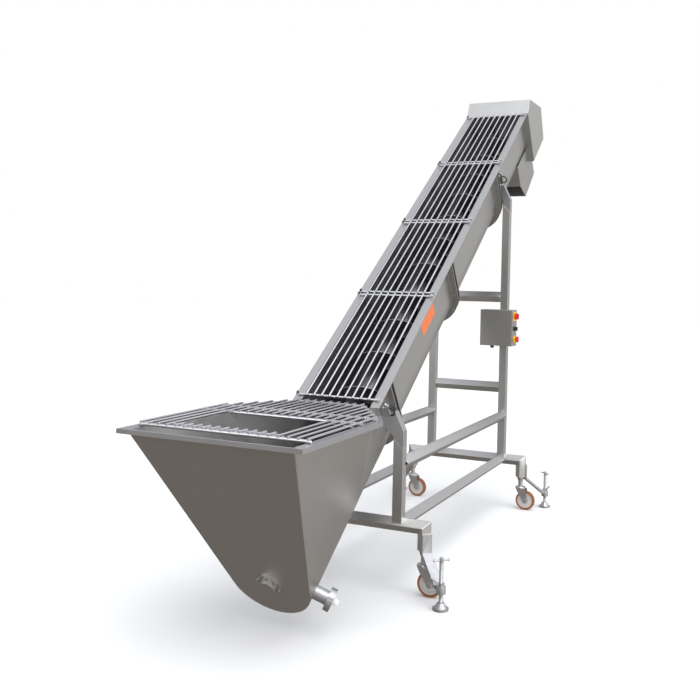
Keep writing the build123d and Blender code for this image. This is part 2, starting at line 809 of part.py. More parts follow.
mouth_half = rim_half - rim_side_lip
front_u = hopper_front + front_plate
corner_x = rim_rear_x - mouth_corner_gap
front_station = (front_u, mouth_half, rim_w((front_u - rim_u(0)) / cos(slope)))
corner_station = (rim_u(corner_x), mouth_half, rim_w(corner_x))
rear_station = (trough_start, trough_out_r, 0.0)
shell_front, front_filled = hopper_part([front_station, corner_station])
shell_rear, rear_filled = hopper_part([corner_station, rear_station])
drain_axis = deck * Pos(drain_u, 0, -axis_depth) * Rot(drain_dip, 0, 0)
drain_hole = drain_axis * Pos(0, -trough_r, 0) * Rot(90, 0, 0) * Cylinder(drain_r - drain_wall, drain_len)
save("hopper_shell", deck * (shell_front + shell_rear) - drain_hole)


def plate_outline():
    """Outline of the hopper's front plate."""
    w_top = rim_w((hopper_front - rim_u(0)) / cos(slope))
    half, ty, tw, r = hopper_strip(hopper_front, mouth_half, w_top, True)
    with BuildLine() as line:
        Line((half, w_top), (-half, w_top))
        Line((-half, w_top), (-ty, tw))
        ThreePointArc((-ty, tw), (0, -axis_depth - r), (ty, tw))
        Line((ty, tw), (half, w_top))
    return make_face(line.line)


nose = along(plate_outline(), hopper_front, front_u)
nose = nose - on_axis(journal_r + plate_hole_gap, hopper_front - cut_len, hopper_front + cut_len)
below_rim = Pos(0, 0, -rim_plate) * Box(2 * wheelbase, 4 * rim_half, 2 * rim_z)
save("hopper_front_plate", (deck * nose) & below_rim)

mouth_front_x = (front_u - rim_u(0)) / cos(slope)
rim_front_x = mouth_front_x - rim_front_lip
flange_meet_x = (trough_start - rim_u(0)) / cos(slope)
rim_heel_x = flange_meet_x - rim_heel_gap
heel_half = trough_out_r + rim_side_lip
outer_pts = [
    (rim_front_x, -rim_half), (rim_rear_x, -rim_half), (rim_heel_x, -heel_half),
    (rim_heel_x, heel_half), (rim_rear_x, rim_half), (rim_front_x, rim_half),
]
inner_pts = [
    (mouth_front_x, -mouth_half), (corner_x, -mouth_half), (flange_meet_x, -trough_out_r),
    (flange_meet_x, trough_out_r), (corner_x, mouth_half), (mouth_front_x, mouth_half),
]
through_pts = [(x + (rim_cut_run if x > corner_x else 0), y) for x, y in inner_pts]
lip = prism_z(outer_pts, rim_z - rim_plate, rim_z) - prism_z(through_pts, rim_z - cut_len, rim_z + cut_len)
fold_in = [
    (rim_front_x + rim_plate, -rim_half + rim_plate), (rim_rear_x, -rim_half + rim_plate),
    (flange_meet_x + fold_run, -heel_half + rim_plate + fold_narrow),
    (flange_meet_x + fold_run, heel_half - rim_plate - fold_narrow),
    (rim_rear_x, rim_half - rim_plate), (rim_front_x + rim_plate, rim_half - rim_plate),
]
fold = prism_z(outer_pts, rim_z - rim_fold, rim_z - rim_plate)
fold = fold - prism_z(fold_in, rim_z - cut_len, rim_z + cut_len)
rim = lip + fold
rim = rim - (deck * front_filled) - (deck * rear_filled) - (deck * nose)
rim = rim - (deck * along(trough_face, trough_start - fold_narrow, trough_joint))
save("hopper_rim", rim)

cap_face = hopper_front - cap_flange_t
cap = on_axis(cap_flange_r, cap_face, hopper_front) + on_axis(cap_dome_r, cap_face - cap_dome_len, cap_face)
cap = cap - on_axis(cap_bore_r, hopper_front - cap_bore_len, hopper_front + cap_bore_len)
for k in range(cap_bolts):
    a = radians(360 / cap_bolts * (k + 0.5))
    spot = Pos(cap_face - cap_bolt_head / 2, cap_bolt_ring * cos(a), -axis_depth + cap_bolt_ring * sin(a))
    hexagon = extrude(RegularPolygon(cap_bolt_corner, 6), amount=cap_bolt_head / 2, both=True)
    cap = cap + spot * Rot(0, 90, 0) * hexagon
save("tail_bearing_cap", deck * cap)


# ================================================================ screw
screw_start = front_u + screw_tail_gap
screw_end = trough_end - screw_head_gap
shaft = on_axis(shaft_r, screw_start, screw_end)
shaft = shaft - on_axis(shaft_bore_r, screw_start + shaft_plug, screw_end - shaft_plug)
tail = on_axis(journal_r, hopper_front - tail_journal_out, screw_start + journal_sink)
head = on_axis(journal_r, screw_end - journal_sink, hood_start + head_journal_run)
save("screw_shaft", deck * (shaft + tail + head))

flight_start = screw_start + flight_lead
flight_end = outlet_end - flight_stop
blade_depth = flight_r - shaft_r


def flight_section(start, length):
    """Sectional flight of up to one turn, starting at a distance along the incline."""
    helix = Helix(pitch=screw_pitch, height=length, radius=(shaft_r + flight_r) / 2)
    profile = Plane(origin=helix @ 0, x_dir=(1, 0, 0), z_dir=(0, 1, 0)) * Rectangle(blade_depth, flight_plate)
    blade = sweep(profile, path=helix, is_frenet=True)
    return deck * Pos(start, 0, -axis_depth) * Rot(0, 90, 0) * Rot(0, 0, flight_turn) * blade


flights = []
whole_turns = int((flight_end - flight_start) / screw_pitch)
for turn in range(whole_turns):
    flights.append(flight_section(flight_start + turn * screw_pitch, screw_pitch))
last_start = flight_start + whole_turns * screw_pitch
if flight_end - last_start > screw_pitch / 10:
    flights.append(flight_section(last_start, flight_end - last_start))
save("screw_flight", flights)

journal_hole = on_axis(journal_r + running_fit, hopper_front - cut_len, hood_start + gear_bore_end)
gear_start = hood_start + head_bearing_gap + head_bearing_len
tail_bearing = on_axis(journal_r + bearing_wall, hopper_front - bearing_out, front_u + bearing_in)
head_bearing = on_axis(head_bearing_r, hood_start + head_bearing_gap, gear_start)
save("screw_bearings", [deck * (tail_bearing - journal_hole), deck * (head_bearing - journal_hole)])

# ================================================================ head
end_plate = Box(hood_start - trough_end, 2 * (hood_half - head_plate_inset), hood_depth)
end_plate = Pos((trough_end + hood_start) / 2, 0, -hood_depth / 2) * end_plate
end_plate = end_plate + on_axis(trough_out_r, trough_end, hood_start)
end_plate = end_plate - on_axis(journal_r + head_hole_gap, trough_end - cut_len, trough_end + cut_len)
save("head_plate", deck * end_plate)

heel_depth = hood_depth - hood_heel_rise
hood_outline = [
    (hood_start, -hood_depth), (hood_end - hood_heel, -heel_depth), (hood_slope_u, -hood_slope_depth),
    (hood_rise_u, hood_rise), (hood_start, 0),
]
hood_inner = [
    (hood_start - hood_open, -hood_depth + hood_wall),
    (hood_end - hood_heel - hood_wall, -heel_depth + hood_wall),
    (hood_slope_u - hood_wall, -hood_slope_depth - hood_wall / 2), (hood_rise_u, hood_rise - 1.25 * hood_wall),
    (hood_start - hood_open, -hood_open_drop),
]
hood = prism_y(hood_outline, -hood_half, hood_half)
hood = hood - prism_y(hood_inner, -hood_half + hood_wall, hood_half - hood_wall)
save("drive_hood", deck * hood)

motor_start = gear_start + gearbox_len
gear = on_axis(gearbox_d / 2, gear_start, motor_start) - journal_hole
motor = on_axis(motor_d / 2, motor_start, motor_start + motor_len)
terminal_w = -axis_depth + motor_d / 2 - terminal_sink + terminal_height / 2
terminal = Pos(motor_start + terminal_u, 0, terminal_w) * Box(terminal_len, terminal_len, terminal_height)
save("gearmotor", [deck * gear, deck * (motor + terminal)])

chute_top_w = -axis_depth - chute_top
chute_ledge = -hood_depth - chute_hood_gap
chute_rear = hood_start - chute_back_gap
chute_outer = [
    (outlet_start, chute_top_w), (outlet_start, -chute_front_depth), (chute_lip_u, -chute_lip_depth),
    (chute_back_u, -chute_back_depth), (chute_back_u, chute_ledge),
    (chute_rear, chute_ledge), (chute_rear, chute_top_w),
]
t = chute_wall
chute_inner = [
    (outlet_start + t, -axis_depth), (outlet_start + t, -chute_front_depth - chute_cut_run),
    (chute_lip_u - chute_lip_front, -chute_lip_depth - chute_cut_run),
    (chute_lip_u + chute_lip_back, -chute_lip_depth + t - chute_lip_thin),
    (chute_back_u - t, -chute_back_depth + t), (chute_back_u - t, chute_ledge - t),
    (trough_end + t, chute_ledge - t), (trough_end + t, -axis_depth),
]
chute = prism_y(chute_outer, -trough_out_r - t, trough_out_r + t)
chute = chute - prism_y(chute_inner, -trough_out_r, trough_out_r)
chute = chute - on_axis(trough_out_r, trough_start, hood_start) - end_plate
save("discharge_chute", deck * chute)


# ================================================================ guards
def ladder(u0, u1):
    """One guard section: long bars welded over a cross bar at each end."""
    low = cross_bar_d / 2
    high = cross_bar_d + bar_d / 2 - weld_sink
    shape = None
    for u in (u0 + cross_bar_d, u1 - cross_bar_d):
        piece = rod((u, -grille_half, low), (u, grille_half, low), cross_bar_d / 2)
        shape = piece if shape is None else shape + piece
    for k in range(grille_bars):
        y = (k - (grille_bars - 1) / 2) * bar_pitch
        shape = shape + rod((u0, y, high), (u1, y, high), bar_d / 2)
    return shape


sections_out = []
for u0, u1 in zip(grille_stations[:-1], grille_stations[1:]):
    sections_out.append(deck * ladder(u0 + grille_split / 2, u1 - grille_split / 2))
for u in grille_stations:
    for side in (-1, 1):
        offset = cross_bar_d + grille_split / 2
        if u == grille_stations[0]:
            spots = [u + offset]
        elif u == grille_stations[-1]:
            spots = [u - offset]
        else:
            spots = [u - offset, u + offset]
        for spot in spots:
            block = Box(clamp_len, clamp_size, clamp_size)
            block_y = side * (grille_half + clamp_gap + clamp_size / 2)
            sections_out.append(deck * Pos(spot, block_y, clamp_size / 2) * block)
save("trough_grille", sections_out)

grating_front_x = rim_front_x + grating_front_gap
window_front_x = rim_front_x + window_front_gap
window_rear_x = rim_rear_x - window_rear_gap
grating_rear_x = flange_meet_x - grating_rear_gap
grating_rear_half = trough_r - grating_narrow
frame_z = rim_z + grating_seat_gap + grating_frame_d / 2
top_z = frame_z + grating_frame_d / 2 + bar_d / 2 - weld_sink
half_grate = (grating_bars - 1) / 2 * bar_pitch
knob_y = half_grate + front_rod_over
wide_x = rim_rear_x + corner_over


def rear_limit(y):
    """Where a bar at this y reaches the slanted rear edge of the grating."""
    a = abs(y)
    if a <= grating_rear_half:
        return grating_rear_x
    span = half_grate - grating_rear_half
    return grating_rear_x + (a - grating_rear_half) / span * (wide_x - grating_rear_x)


grate = rod((grating_front_x, -knob_y, frame_z), (grating_front_x, knob_y, frame_z), grating_frame_d / 2)
for side in (-1, 1):
    grate = grate + Pos(grating_front_x, side * knob_y, rim_z + grating_seat_gap + knob_r) * Sphere(knob_r)
    wide_end = (wide_x, side * half_grate, frame_z)
    narrow_end = (grating_rear_x, side * grating_rear_half, frame_z)
    grate = grate + rod(wide_end, narrow_end, grating_frame_d / 2)
window_half = (window_bars - 1) / 2 * bar_pitch
cross_rods = (
    (window_front_x, window_half),
    (window_rear_x, half_grate + window_rod_over),
    (rim_rear_x, half_grate + corner_rod_over),
    (grating_rear_x - rear_rod_inset, grating_rear_half + rear_rod_over),
)
for x, half in cross_rods:
    grate = grate + rod((x, -half, frame_z), (x, half, frame_z), grating_frame_d / 2)
bar_start = grating_front_x - bar_overhang
for k in range(grating_bars):
    y = (k - (grating_bars - 1) / 2) * bar_pitch
    stations = [bar_start, rear_limit(y)]
    if abs(y) < window_half - bar_pitch / 2:
        stations[1:1] = [window_front_x + window_overhang, window_rear_x - window_overhang]
    for x0, x1 in zip(stations[::2], stations[1::2]):
        grate = grate + rod((x0, y, top_z), (x1, y, top_z), bar_d / 2)
save("hopper_grating", grate)

# ================================================================ drain
outward = drain_axis * Pos(0, -trough_out_r, 0) * Rot(90, 0, 0)
pipe = upright(drain_r, -pipe_sink, drain_len) - Cylinder(drain_r - drain_wall, cut_len)
shell_keep = deck * on_axis(trough_out_r, drain_u - cut_len, drain_u + cut_len)
save("drain_pipe", (outward * pipe) - shell_keep)
nut_start = drain_len - nut_grip
nut_end = nut_start + nut_len
nut = upright(nut_r, nut_start, nut_end) - upright(drain_r + body_gap, nut_start - nut_len, nut_end - nut_face)
nut = nut - Cylinder(nut_mouth_r, cut_len)
for k in range(nut_slots):
    notch = Box(nut_slot, nut_slot, cut_len)
    nut = nut - Rot(0, 0, 360 / nut_slots * k) * Pos(nut_r, 0, nut_start) * notch
save("drain_nut", outward * nut)
plug_z = drain_len + plug_gap
tip_z = plug_z + plug_high_end - plug_tip_sink
plug = upright(plug_foot_r, plug_z - plug_foot_low, plug_z - plug_foot_high)
plug = plug + upright(plug_r, plug_z - plug_low_end, plug_z + plug_high_end)
plug = plug + Pos(0, 0, tip_z + plug_tip_len / 2) * Cone(plug_r, plug_tip_r, plug_tip_len)
save("drain_plug", outward * plug)

# ================================================================ control box
box_x = wheelbase - box_depth / 2
box_y = box_outer_y + box_width / 2
box_z = box_bottom_z + box_height / 2
face_y = box_outer_y
room = Box(box_depth - 2 * box_wall, box_width - lid_t, box_height - 2 * box_wall)
case = Box(box_depth, box_width - lid_t, box_height) - Pos(0, -box_wall, 0) * room
gland_at = Pos(box_x, box_y + gland_back, box_bottom_z)
save("control_case", Pos(box_x, box_y + lid_t / 2, box_z) * case - gland_at * Cylinder(gland_hole_r, gland_len))
lid = Pos(box_x, box_outer_y + lid_t / 2, box_z) * Box(box_depth, lid_t, box_height)
for z in (isolator_z, selector_z, stop_z):
    lid = lid - facing(shaft_hole_r, face_y - lid_t, face_y + 2 * lid_t, z)
save("control_lid", lid)
gland = upright(gland_r, -gland_len, 0) + upright(gland_hole_r - gland_fit, -gland_neck_sink, gland_neck)
save("cable_gland", gland_at * (gland - Cylinder(gland_bore_r, cut_len)))

isolator_plate = Box(isolator_plate_size, isolator_plate_t, isolator_plate_size)
isolator_plate = Pos(box_x, face_y - isolator_plate_t / 2, isolator_z) * isolator_plate
isolator_plate = isolator_plate - facing(knob_bore_r, face_y - cut_len, face_y, isolator_z)
stop_collar = facing(collar_r, face_y - collar_t, face_y, stop_z)
stop_collar = stop_collar - facing(knob_bore_r, face_y - cut_len, face_y, stop_z)
save("yellow_bases", [isolator_plate, stop_collar])
selector_ring = facing(ring_r, face_y - ring_t, face_y, selector_z)
save("selector_ring", selector_ring - facing(knob_bore_r, face_y - cut_len, face_y, selector_z))


def stalk(length, inner_end, z):
    """Stalk that carries a knob, from behind the lid outwards."""
    return facing(knob_bore_r - stalk_gap, face_y + inner_end - length, face_y + inner_end, z)


isolator_y = face_y - isolator_plate_t - body_gap
isolator = facing(isolator_r, isolator_y - isolator_base, isolator_y, isolator_z)
grip = Box(isolator_grip, isolator_grip, isolator_grip_len)
grip_y = isolator_y - isolator_base + isolator_grip_sink - isolator_grip / 2
isolator = isolator + Pos(box_x, grip_y, isolator_z) * grip
save("isolator_knob", isolator + stalk(stalk_len, stalk_in, isolator_z))
selector_y = face_y - ring_t - body_gap
selector = facing(selector_r, selector_y - selector_base, selector_y, selector_z)
grip = Box(selector_grip_width, selector_grip, selector_grip_len)
grip_y = selector_y - selector_base + selector_grip_sink - selector_grip / 2
selector = selector + Pos(box_x, grip_y, selector_z) * grip
save("selector_knob", selector + stalk(stalk_len, stalk_in, selector_z))
stop_y = face_y - collar_t - stop_travel_gap
stop = facing(stop_r, stop_y - stop_head, stop_y, stop_z)
stop = fillet(stop.edges().group_by(Axis.Y)[0], stop_round)
save("stop_button", stop + stalk(stop_stalk_len, stop_stalk_in, stop_z))
blocks = []
for z in (isolator_z, selector_z, stop_z):
    blocks.append(Pos(box_x, face_y + block_back, z) * Box(block_width, block_depth, block_height))
save("contact_blocks", blocks)

write_nodes()
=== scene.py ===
"""Looks of a mobile grain auger: finishes, welds, threads, fixings, light and camera."""

import math

import bpy
import numpy as np
from bpy.props import FloatProperty, FloatVectorProperty, IntProperty, PointerProperty
from bpy.types import Operator, Panel, PropertyGroup
from mathutils import Matrix, Vector


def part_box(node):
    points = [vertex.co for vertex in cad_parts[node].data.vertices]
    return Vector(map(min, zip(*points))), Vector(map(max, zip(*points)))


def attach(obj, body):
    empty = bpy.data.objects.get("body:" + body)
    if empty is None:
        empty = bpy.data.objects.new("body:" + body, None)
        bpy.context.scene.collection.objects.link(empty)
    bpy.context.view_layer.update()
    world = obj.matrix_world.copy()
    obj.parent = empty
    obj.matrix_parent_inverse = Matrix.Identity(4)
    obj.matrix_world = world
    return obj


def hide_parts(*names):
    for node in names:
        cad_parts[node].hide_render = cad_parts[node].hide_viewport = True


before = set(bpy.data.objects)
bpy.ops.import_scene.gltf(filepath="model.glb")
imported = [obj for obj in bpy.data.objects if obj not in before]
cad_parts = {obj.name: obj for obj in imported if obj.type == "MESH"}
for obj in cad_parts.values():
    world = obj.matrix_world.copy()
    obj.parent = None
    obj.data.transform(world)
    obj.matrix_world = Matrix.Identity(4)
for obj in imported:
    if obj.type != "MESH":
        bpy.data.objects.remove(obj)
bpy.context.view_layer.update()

bl_info = {
    "name": "Grain Auger",
    "version": (1, 0, 0),
    "blender": (4, 5, 0),
    "location": "3D View > Sidebar > Auger",
    "description": "Finishes, welds, threads and fixings of a mobile grain auger",
    "category": "Object",
}

# ------------------------------------------------------------------ sizes, in metres
INCLINE = math.radians(35.0)
COS, SIN = math.cos(INCLINE), math.sin(INCLINE)
POST_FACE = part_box("posts")[0].x         # front face of the front posts
DECK_Z = 1.047                  # trough flange plane above the floor, over that face
AXIS_DEPTH = 0.221              # screw axis below the flange plane
TROUGH_R = 0.186                # outside of the trough wall
TUBE = 0.050
WHEELBASE = 1.850
FRONT_X = POST_FACE + TUBE / 2
REAR_X = FRONT_X + WHEELBASE
POST_Y = 0.250
STUB_Y = 0.385
BASE_Z = 0.325
MID_RAIL_Z = 0.617
CROSS_RAILS_Z = (0.807, 1.417)
STUB_BOTTOM_Z = 0.215
TRAIL = 0.035
WHEEL_R = 0.0625
FORK_HALF = 0.025               # outside of a castor's fork
HUB_HALF = 0.0161               # outside of a castor wheel's dish
TREAD_R = 0.0482                # where a wheel's tread meets its core
AXLE_HEAD_R = 0.0115
BLUR = 0.0004                   # soft edge between two finishes of a wheel
CROWN_TOP = 0.154               # top of a castor's crown
SPINDLE_R = 0.010               # jack screw
SPINDLE_LOW, SPINDLE_TOP = 0.0345, 0.240
PLAIN_LOW, PLAIN_TOP = 0.216, 0.2365     # the jack screw's smooth end, round its tommy bar
PIN_R, PIN_LOW = 0.0069, 0.0125
TOMMY_Z, TOMMY_R, TOMMY_HALF = 0.228, 0.004, 0.036
STUB_WELD_TOP = 0.300
BANDS = (-0.045, 1.010, 2.0849)          # the trough's bands along the incline
BAND_PLATE, BAND_GAP = 0.008, 0.024
GUARD_ENDS, GUARD_JOINTS = (-0.190, 2.960), (0.665, 1.440, 2.210)
CLAMP_GAP, CLAMP_Y, CLAMP_TOP = 0.015, 0.2142, 0.016
HOOD_HALF = 0.232
LID_SCREW_INSET = 0.009
CORNERS = {
    "front_right": (-1, -1),
    "front_left": (-1, 1),
    "rear_right": (1, -1),
    "rear_left": (1, 1),
}
HALF_DIAGONAL = TUBE / math.sqrt(2)
# colours of the room from straight down (0) to straight up (1)
ROOM_TONES = (
    (0.00, (0.22, 0.20, 0.18)),
    (0.30, (0.27, 0.25, 0.23)),
    (0.48, (0.34, 0.33, 0.31)),
    (0.58, (0.46, 0.46, 0.46)),
    (0.78, (0.74, 0.76, 0.80)),
    (1.00, (0.86, 0.89, 0.96)),
)


# ================================================================== sizes and colours to change
class AugerSteel(PropertyGroup):
    """Colours and grain of the stainless steel."""

    sheet: FloatVectorProperty(
        name="Sheet", description="Colour of the ground sheet metal",
        default=(0.50, 0.495, 0.485), size=3, min=0, max=1, subtype="COLOR")
    front: FloatVectorProperty(
        name="Front plate", description="Colour of the hopper's end plate",
        default=(0.52, 0.505, 0.485), size=3, min=0, max=1, subtype="COLOR")
    tubes: FloatVectorProperty(
        name="Tubes", description="Colour of the frame tubes",
        default=(0.55, 0.545, 0.54), size=3, min=0, max=1, subtype="COLOR")
    bright: FloatVectorProperty(
        name="Bright", description="Colour of bars, bolts and castings",
        default=(0.62, 0.62, 0.64), size=3, min=0, max=1, subtype="COLOR")
    # The inside colour is painted shade: a darker steel that stands in for the shade in the trough's
    # hollow and on the screw
    inside: FloatVectorProperty(
        name="Inside", description="Colour of the worn trough and screw",
        default=(0.30, 0.29, 0.30), size=3, min=0, max=1, subtype="COLOR")
    grain: FloatProperty(
        name="Grain", description="Brush lines for each metre across the grain",
        default=900.0, min=50.0, max=4000.0)
    roughness: FloatProperty(
        name="Roughness", description="Mean roughness of the ground sheet",
        default=0.42, min=0.05, max=1.0)


class AugerDetail(PropertyGroup):
    """Sizes of welds, threads and fixings."""

    bead: FloatProperty(
        name="Bead", description="Radius of a weld bead",
        default=0.0028, min=0.0005, max=0.01, unit="LENGTH")
    ripple: FloatProperty(
        name="Ripple", description="Distance between two ripples of a weld",
        default=0.0045, min=0.001, max=0.02, unit="LENGTH")
    thread_pitch: FloatProperty(
        name="Thread pitch", description="Pitch of the jack screws",
        default=0.004, min=0.001, max=0.01, unit="LENGTH")
    thread_depth: FloatProperty(
        name="Thread depth", description="Depth of the jack screws' thread",
        default=0.0016, min=0.0002, max=0.004, unit="LENGTH")
    edge: FloatProperty(
        name="Edge radius", description="Radius of the tubes' corners",
        default=0.0035, min=0.0002, max=0.008, unit="LENGTH")
    round_steps: IntProperty(
        name="Steps", description="Faces round a bolt or a rod",
        default=24, min=8, max=96)


class AugerStage(PropertyGroup):
    """Camera, floor and light."""

    camera: FloatVectorProperty(
        name="Camera", description="Place of the camera, from under the front posts' face",
        default=(-3.8771, -1.8059, 1.4782), size=3, subtype="TRANSLATION", unit="LENGTH")
    heading: FloatProperty(
        name="Heading", description="Camera's heading from +X towards +Y",
        default=math.radians(25.084), subtype="ANGLE")
    dip: FloatProperty(
        name="Dip", description="Camera's dip below level",
        default=math.radians(0.846), subtype="ANGLE")
    roll: FloatProperty(
        name="Roll", description="Camera's roll",
        default=0.0213, subtype="ANGLE")
    lens: FloatProperty(
        name="Lens", description="Focal length on a 36 mm sensor, in millimetres",
        default=44.72, min=10, max=300)
    shift: FloatVectorProperty(
        name="Shift", description="Lens shift across and up, in shares of the picture",
        default=(-0.0036, -0.0749), size=2)
    floor: FloatVectorProperty(
        name="Floor", description="Colour of the floor",
        default=(0.90, 0.90, 0.90), size=3, min=0, max=1, subtype="COLOR")
    room: FloatProperty(
        name="Room light", description="Strength of the light from all round",
        default=1.0, min=0.0, max=5.0)
    wall: FloatProperty(
        name="Side light", description="How much lighter the room is on the machine's right",
        default=0.42, min=0.0, max=5.0)
    sun: FloatProperty(
        name="Overhead light", description="Strength of the wide soft light overhead",
        default=1.4, min=0.0, max=10.0)


# ================================================================== shader maths
class Val:
    """A number socket: arithmetic on it adds Math nodes to its material."""

    def __init__(self, paint, socket):
        self.paint, self.socket = paint, socket

    def _maths(self, operation, *terms, clamp=False):
        return self.paint.node(
            "ShaderNodeMath", {"operation": operation, "use_clamp": clamp},
            {i: t for i, t in enumerate(terms)})

    def __add__(self, other):
        return self._maths("ADD", self, other)

    __radd__ = __add__

    def __sub__(self, other):
        return self._maths("SUBTRACT", self, other)

    def __rsub__(self, other):
        return self._maths("SUBTRACT", other, self)

    def __mul__(self, other):
        return self._maths("MULTIPLY", self, other)

    __rmul__ = __mul__

    def root(self):
        return self._maths("SQRT", self)

    def held(self):
        """The value kept between 0 and 1."""
        return self._maths("ADD", self, 0.0, clamp=True)

    def ramp(self, low, high, start=0.0, end=1.0):
        """A smooth rise from start at low to end at high."""
        return self.paint.node(
            "ShaderNodeMapRange", {"interpolation_type": "SMOOTHSTEP"},
            {"Value": self, "From Min": low, "From Max": high, "To Min": start, "To Max": end})


class Paint:
    """One procedural material in the making."""

    def __init__(self, name, colour, metallic, roughness, **constants):
        self.material = bpy.data.materials.new(name)
        self.material.use_nodes = True
        self.tree = self.material.node_tree
        self.tree.nodes.clear()
        self.shader = self.tree.nodes.new("ShaderNodeBsdfPrincipled")
        output = self.tree.nodes.new("ShaderNodeOutputMaterial")
        self.tree.links.new(self.shader.outputs[0], output.inputs["Surface"])
        self.material.diffuse_color = (*colour, 1.0)
        self.set("Base Color", (*colour, 1.0))
        self.set("Metallic", metallic)
        self.set("Roughness", roughness)
        for name_, value in constants.items():
            self.set(name_.replace("_", " "), value)
        self._coords = None

    def set(self, socket, value):
        """A value or a link on one of the shader's sockets."""
        self._put(self.shader.inputs[socket], value)

    def _put(self, socket, value):
        if isinstance(value, Val):
            self.tree.links.new(value.socket, socket)
        elif isinstance(value, bpy.types.NodeSocket):
            self.tree.links.new(value, socket)
        else:
            socket.default_value = value

    def node(self, kind, settings, values, out=0):
        """Any node: its settings first, then the values or links of its sockets."""
        made = self.tree.nodes.new(kind)
        for key, setting in settings.items():
            setattr(made, key, setting)
        for key, value in values.items():
            self._put(made.inputs[key], value)
        return Val(self, made.outputs[out])

    def coords(self, turn=(0.0, 0.0, 0.0), scale=(1.0, 1.0, 1.0), place=(0.0, 0.0, 0.0)):
        """Object coordinates, turned, scaled and moved."""
        if self._coords is None:
            self._coords = self.node("ShaderNodeTexCoord", {}, {}, "Object")
        return self.node(
            "ShaderNodeMapping", {"vector_type": "POINT"},
            {"Vector": self._coords, "Location": place, "Rotation": turn, "Scale": scale})

    def noise(self, vector, scale, detail=2.0, rough=0.5):
        return self.node(
            "ShaderNodeTexNoise", {"noise_dimensions": "3D"},
            {"Vector": vector, "Scale": scale, "Detail": detail, "Roughness": rough}, "Fac")

    def mix(self, factor, first, second, blend="MIX"):
        """One colour laid over another; factor is a mask."""
        made = self.tree.nodes.new("ShaderNodeMix")
        made.data_type = "RGBA"
        made.blend_type = blend
        self._put(made.inputs[0], factor)
        self._put(made.inputs[6], first if isinstance(first, Val) else (*first, 1.0))
        self._put(made.inputs[7], second if isinstance(second, Val) else (*second, 1.0))
        return Val(self, made.outputs[2])

    def axes(self, vector):
        """The three numbers of a vector."""
        made = self.tree.nodes.new("ShaderNodeSeparateXYZ")
        self._put(made.inputs[0], vector)
        return [Val(self, socket) for socket in made.outputs]

    def bump(self, height, strength, distance):
        return self.node(
            "ShaderNodeBump", {},
            {"Height": height, "Strength": strength, "Distance": distance}, "Normal")


def tinted(colour, factor):
    """The colour made lighter or darker by a factor."""
    return tuple(min(1.0, c * factor) for c in colour)


# ================================================================== finishes
def brushed(name, colour, roughness, grain, turn=(0.0, 0.0, 0.0), along=0, dirt=0.25):
    """Ground stainless steel: fine lines along one axis, soft smudges and faint handling marks."""
    paint = Paint(name, colour, 1.0, roughness, Specular_IOR_Level=0.5)
    stretch = [grain, grain, grain]
    stretch[along] = grain * 0.012
    lines = paint.noise(paint.coords(turn, tuple(stretch)), 1.0, 3.0, 0.6)
    wide = [grain * 0.16] * 3
    wide[along] = grain * 0.004
    bands = paint.noise(paint.coords(turn, tuple(wide)), 1.0, 2.0, 0.5)
    smudge = paint.noise(paint.coords(turn, (1.0, 1.0, 1.0), (3.1, 1.7, 0.4)), 3.2, 4.0, 0.62)
    marks = paint.noise(paint.coords(turn, (1.0, 1.0, 1.0), (0.3, 5.2, 2.2)), 24.0, 5.0, 0.7)
    cloud = smudge.ramp(0.35, 0.72)
    scuff = marks.ramp(0.56, 0.74)
    shade = paint.mix(cloud * dirt, tinted(colour, 1.04), tinted(colour, 0.80))
    shade = paint.mix(scuff * 0.22, shade, tinted(colour, 0.74))
    shade = paint.mix(bands.ramp(0.3, 0.7) * 0.16, shade, tinted(colour, 1.18))
    paint.set("Base Color", shade)
    paint.set("Roughness", (lines * 0.16 + cloud * 0.08 + scuff * 0.06 + (roughness - 0.13)).held())
    paint.set("Normal", paint.bump(lines + bands * 0.5, 0.10, 0.0004))
    return paint.material


def cast(name, colour, metallic, roughness, grain=700.0, depth=0.2):
    """A cast, plated or moulded skin: small pits, a soft orange-peel and worn patches."""
    paint = Paint(name, colour, metallic, roughness)
    here = paint.coords()
    pits = paint.noise(here, grain, 3.0, 0.6)
    patch = paint.noise(here, 18.0, 4.0, 0.6)
    worn = patch.ramp(0.42, 0.70)
    paint.set("Base Color", paint.mix(worn * 0.35, tinted(colour, 1.05), tinted(colour, 0.72)))
    paint.set("Roughness", (pits * 0.12 + worn * 0.14 + (roughness - 0.08)).held())
    paint.set("Normal", paint.bump(pits, depth, 0.0003))
    return paint.material


def wheel_finish(name, centre_y):
    """A castor wheel: an orange-brown tread bonded to a light grey core, told apart by radius."""
    tread, core, hub = (0.30, 0.095, 0.028), (0.58, 0.57, 0.55), (0.35, 0.35, 0.36)
    paint = Paint(name, tread, 0.0, 0.5)
    x, y, z = paint.axes(paint.coords())
    dy, dz = y - centre_y, z - WHEEL_R
    radius = (dy * dy + dz * dz).root()
    on_tread = radius.ramp(TREAD_R - BLUR, TREAD_R + BLUR)
    on_hub = 1.0 - radius.ramp(AXLE_HEAD_R - 0.75 * BLUR, AXLE_HEAD_R + 0.75 * BLUR)
    scuff = paint.noise(paint.coords(), 55.0, 5.0, 0.65).ramp(0.45, 0.75)
    grit = paint.noise(paint.coords(), 420.0, 3.0, 0.7)
    dust = (on_tread * scuff).held()
    shade = paint.mix(on_tread, core, tread)
    shade = paint.mix(dust * 0.55, shade, (0.20, 0.105, 0.06))
    shade = paint.mix((1.0 - on_tread) * scuff * 0.35, shade, (0.48, 0.45, 0.40))
    shade = paint.mix(on_hub, shade, hub)
    paint.set("Base Color", shade)
    paint.set("Metallic", on_hub)
    paint.set("Roughness", (0.42 + scuff * 0.18 + grit * 0.08 - on_hub * 0.12).held())
    paint.set("Normal", paint.bump(grit + scuff, 0.25, 0.0004))
    return paint.material


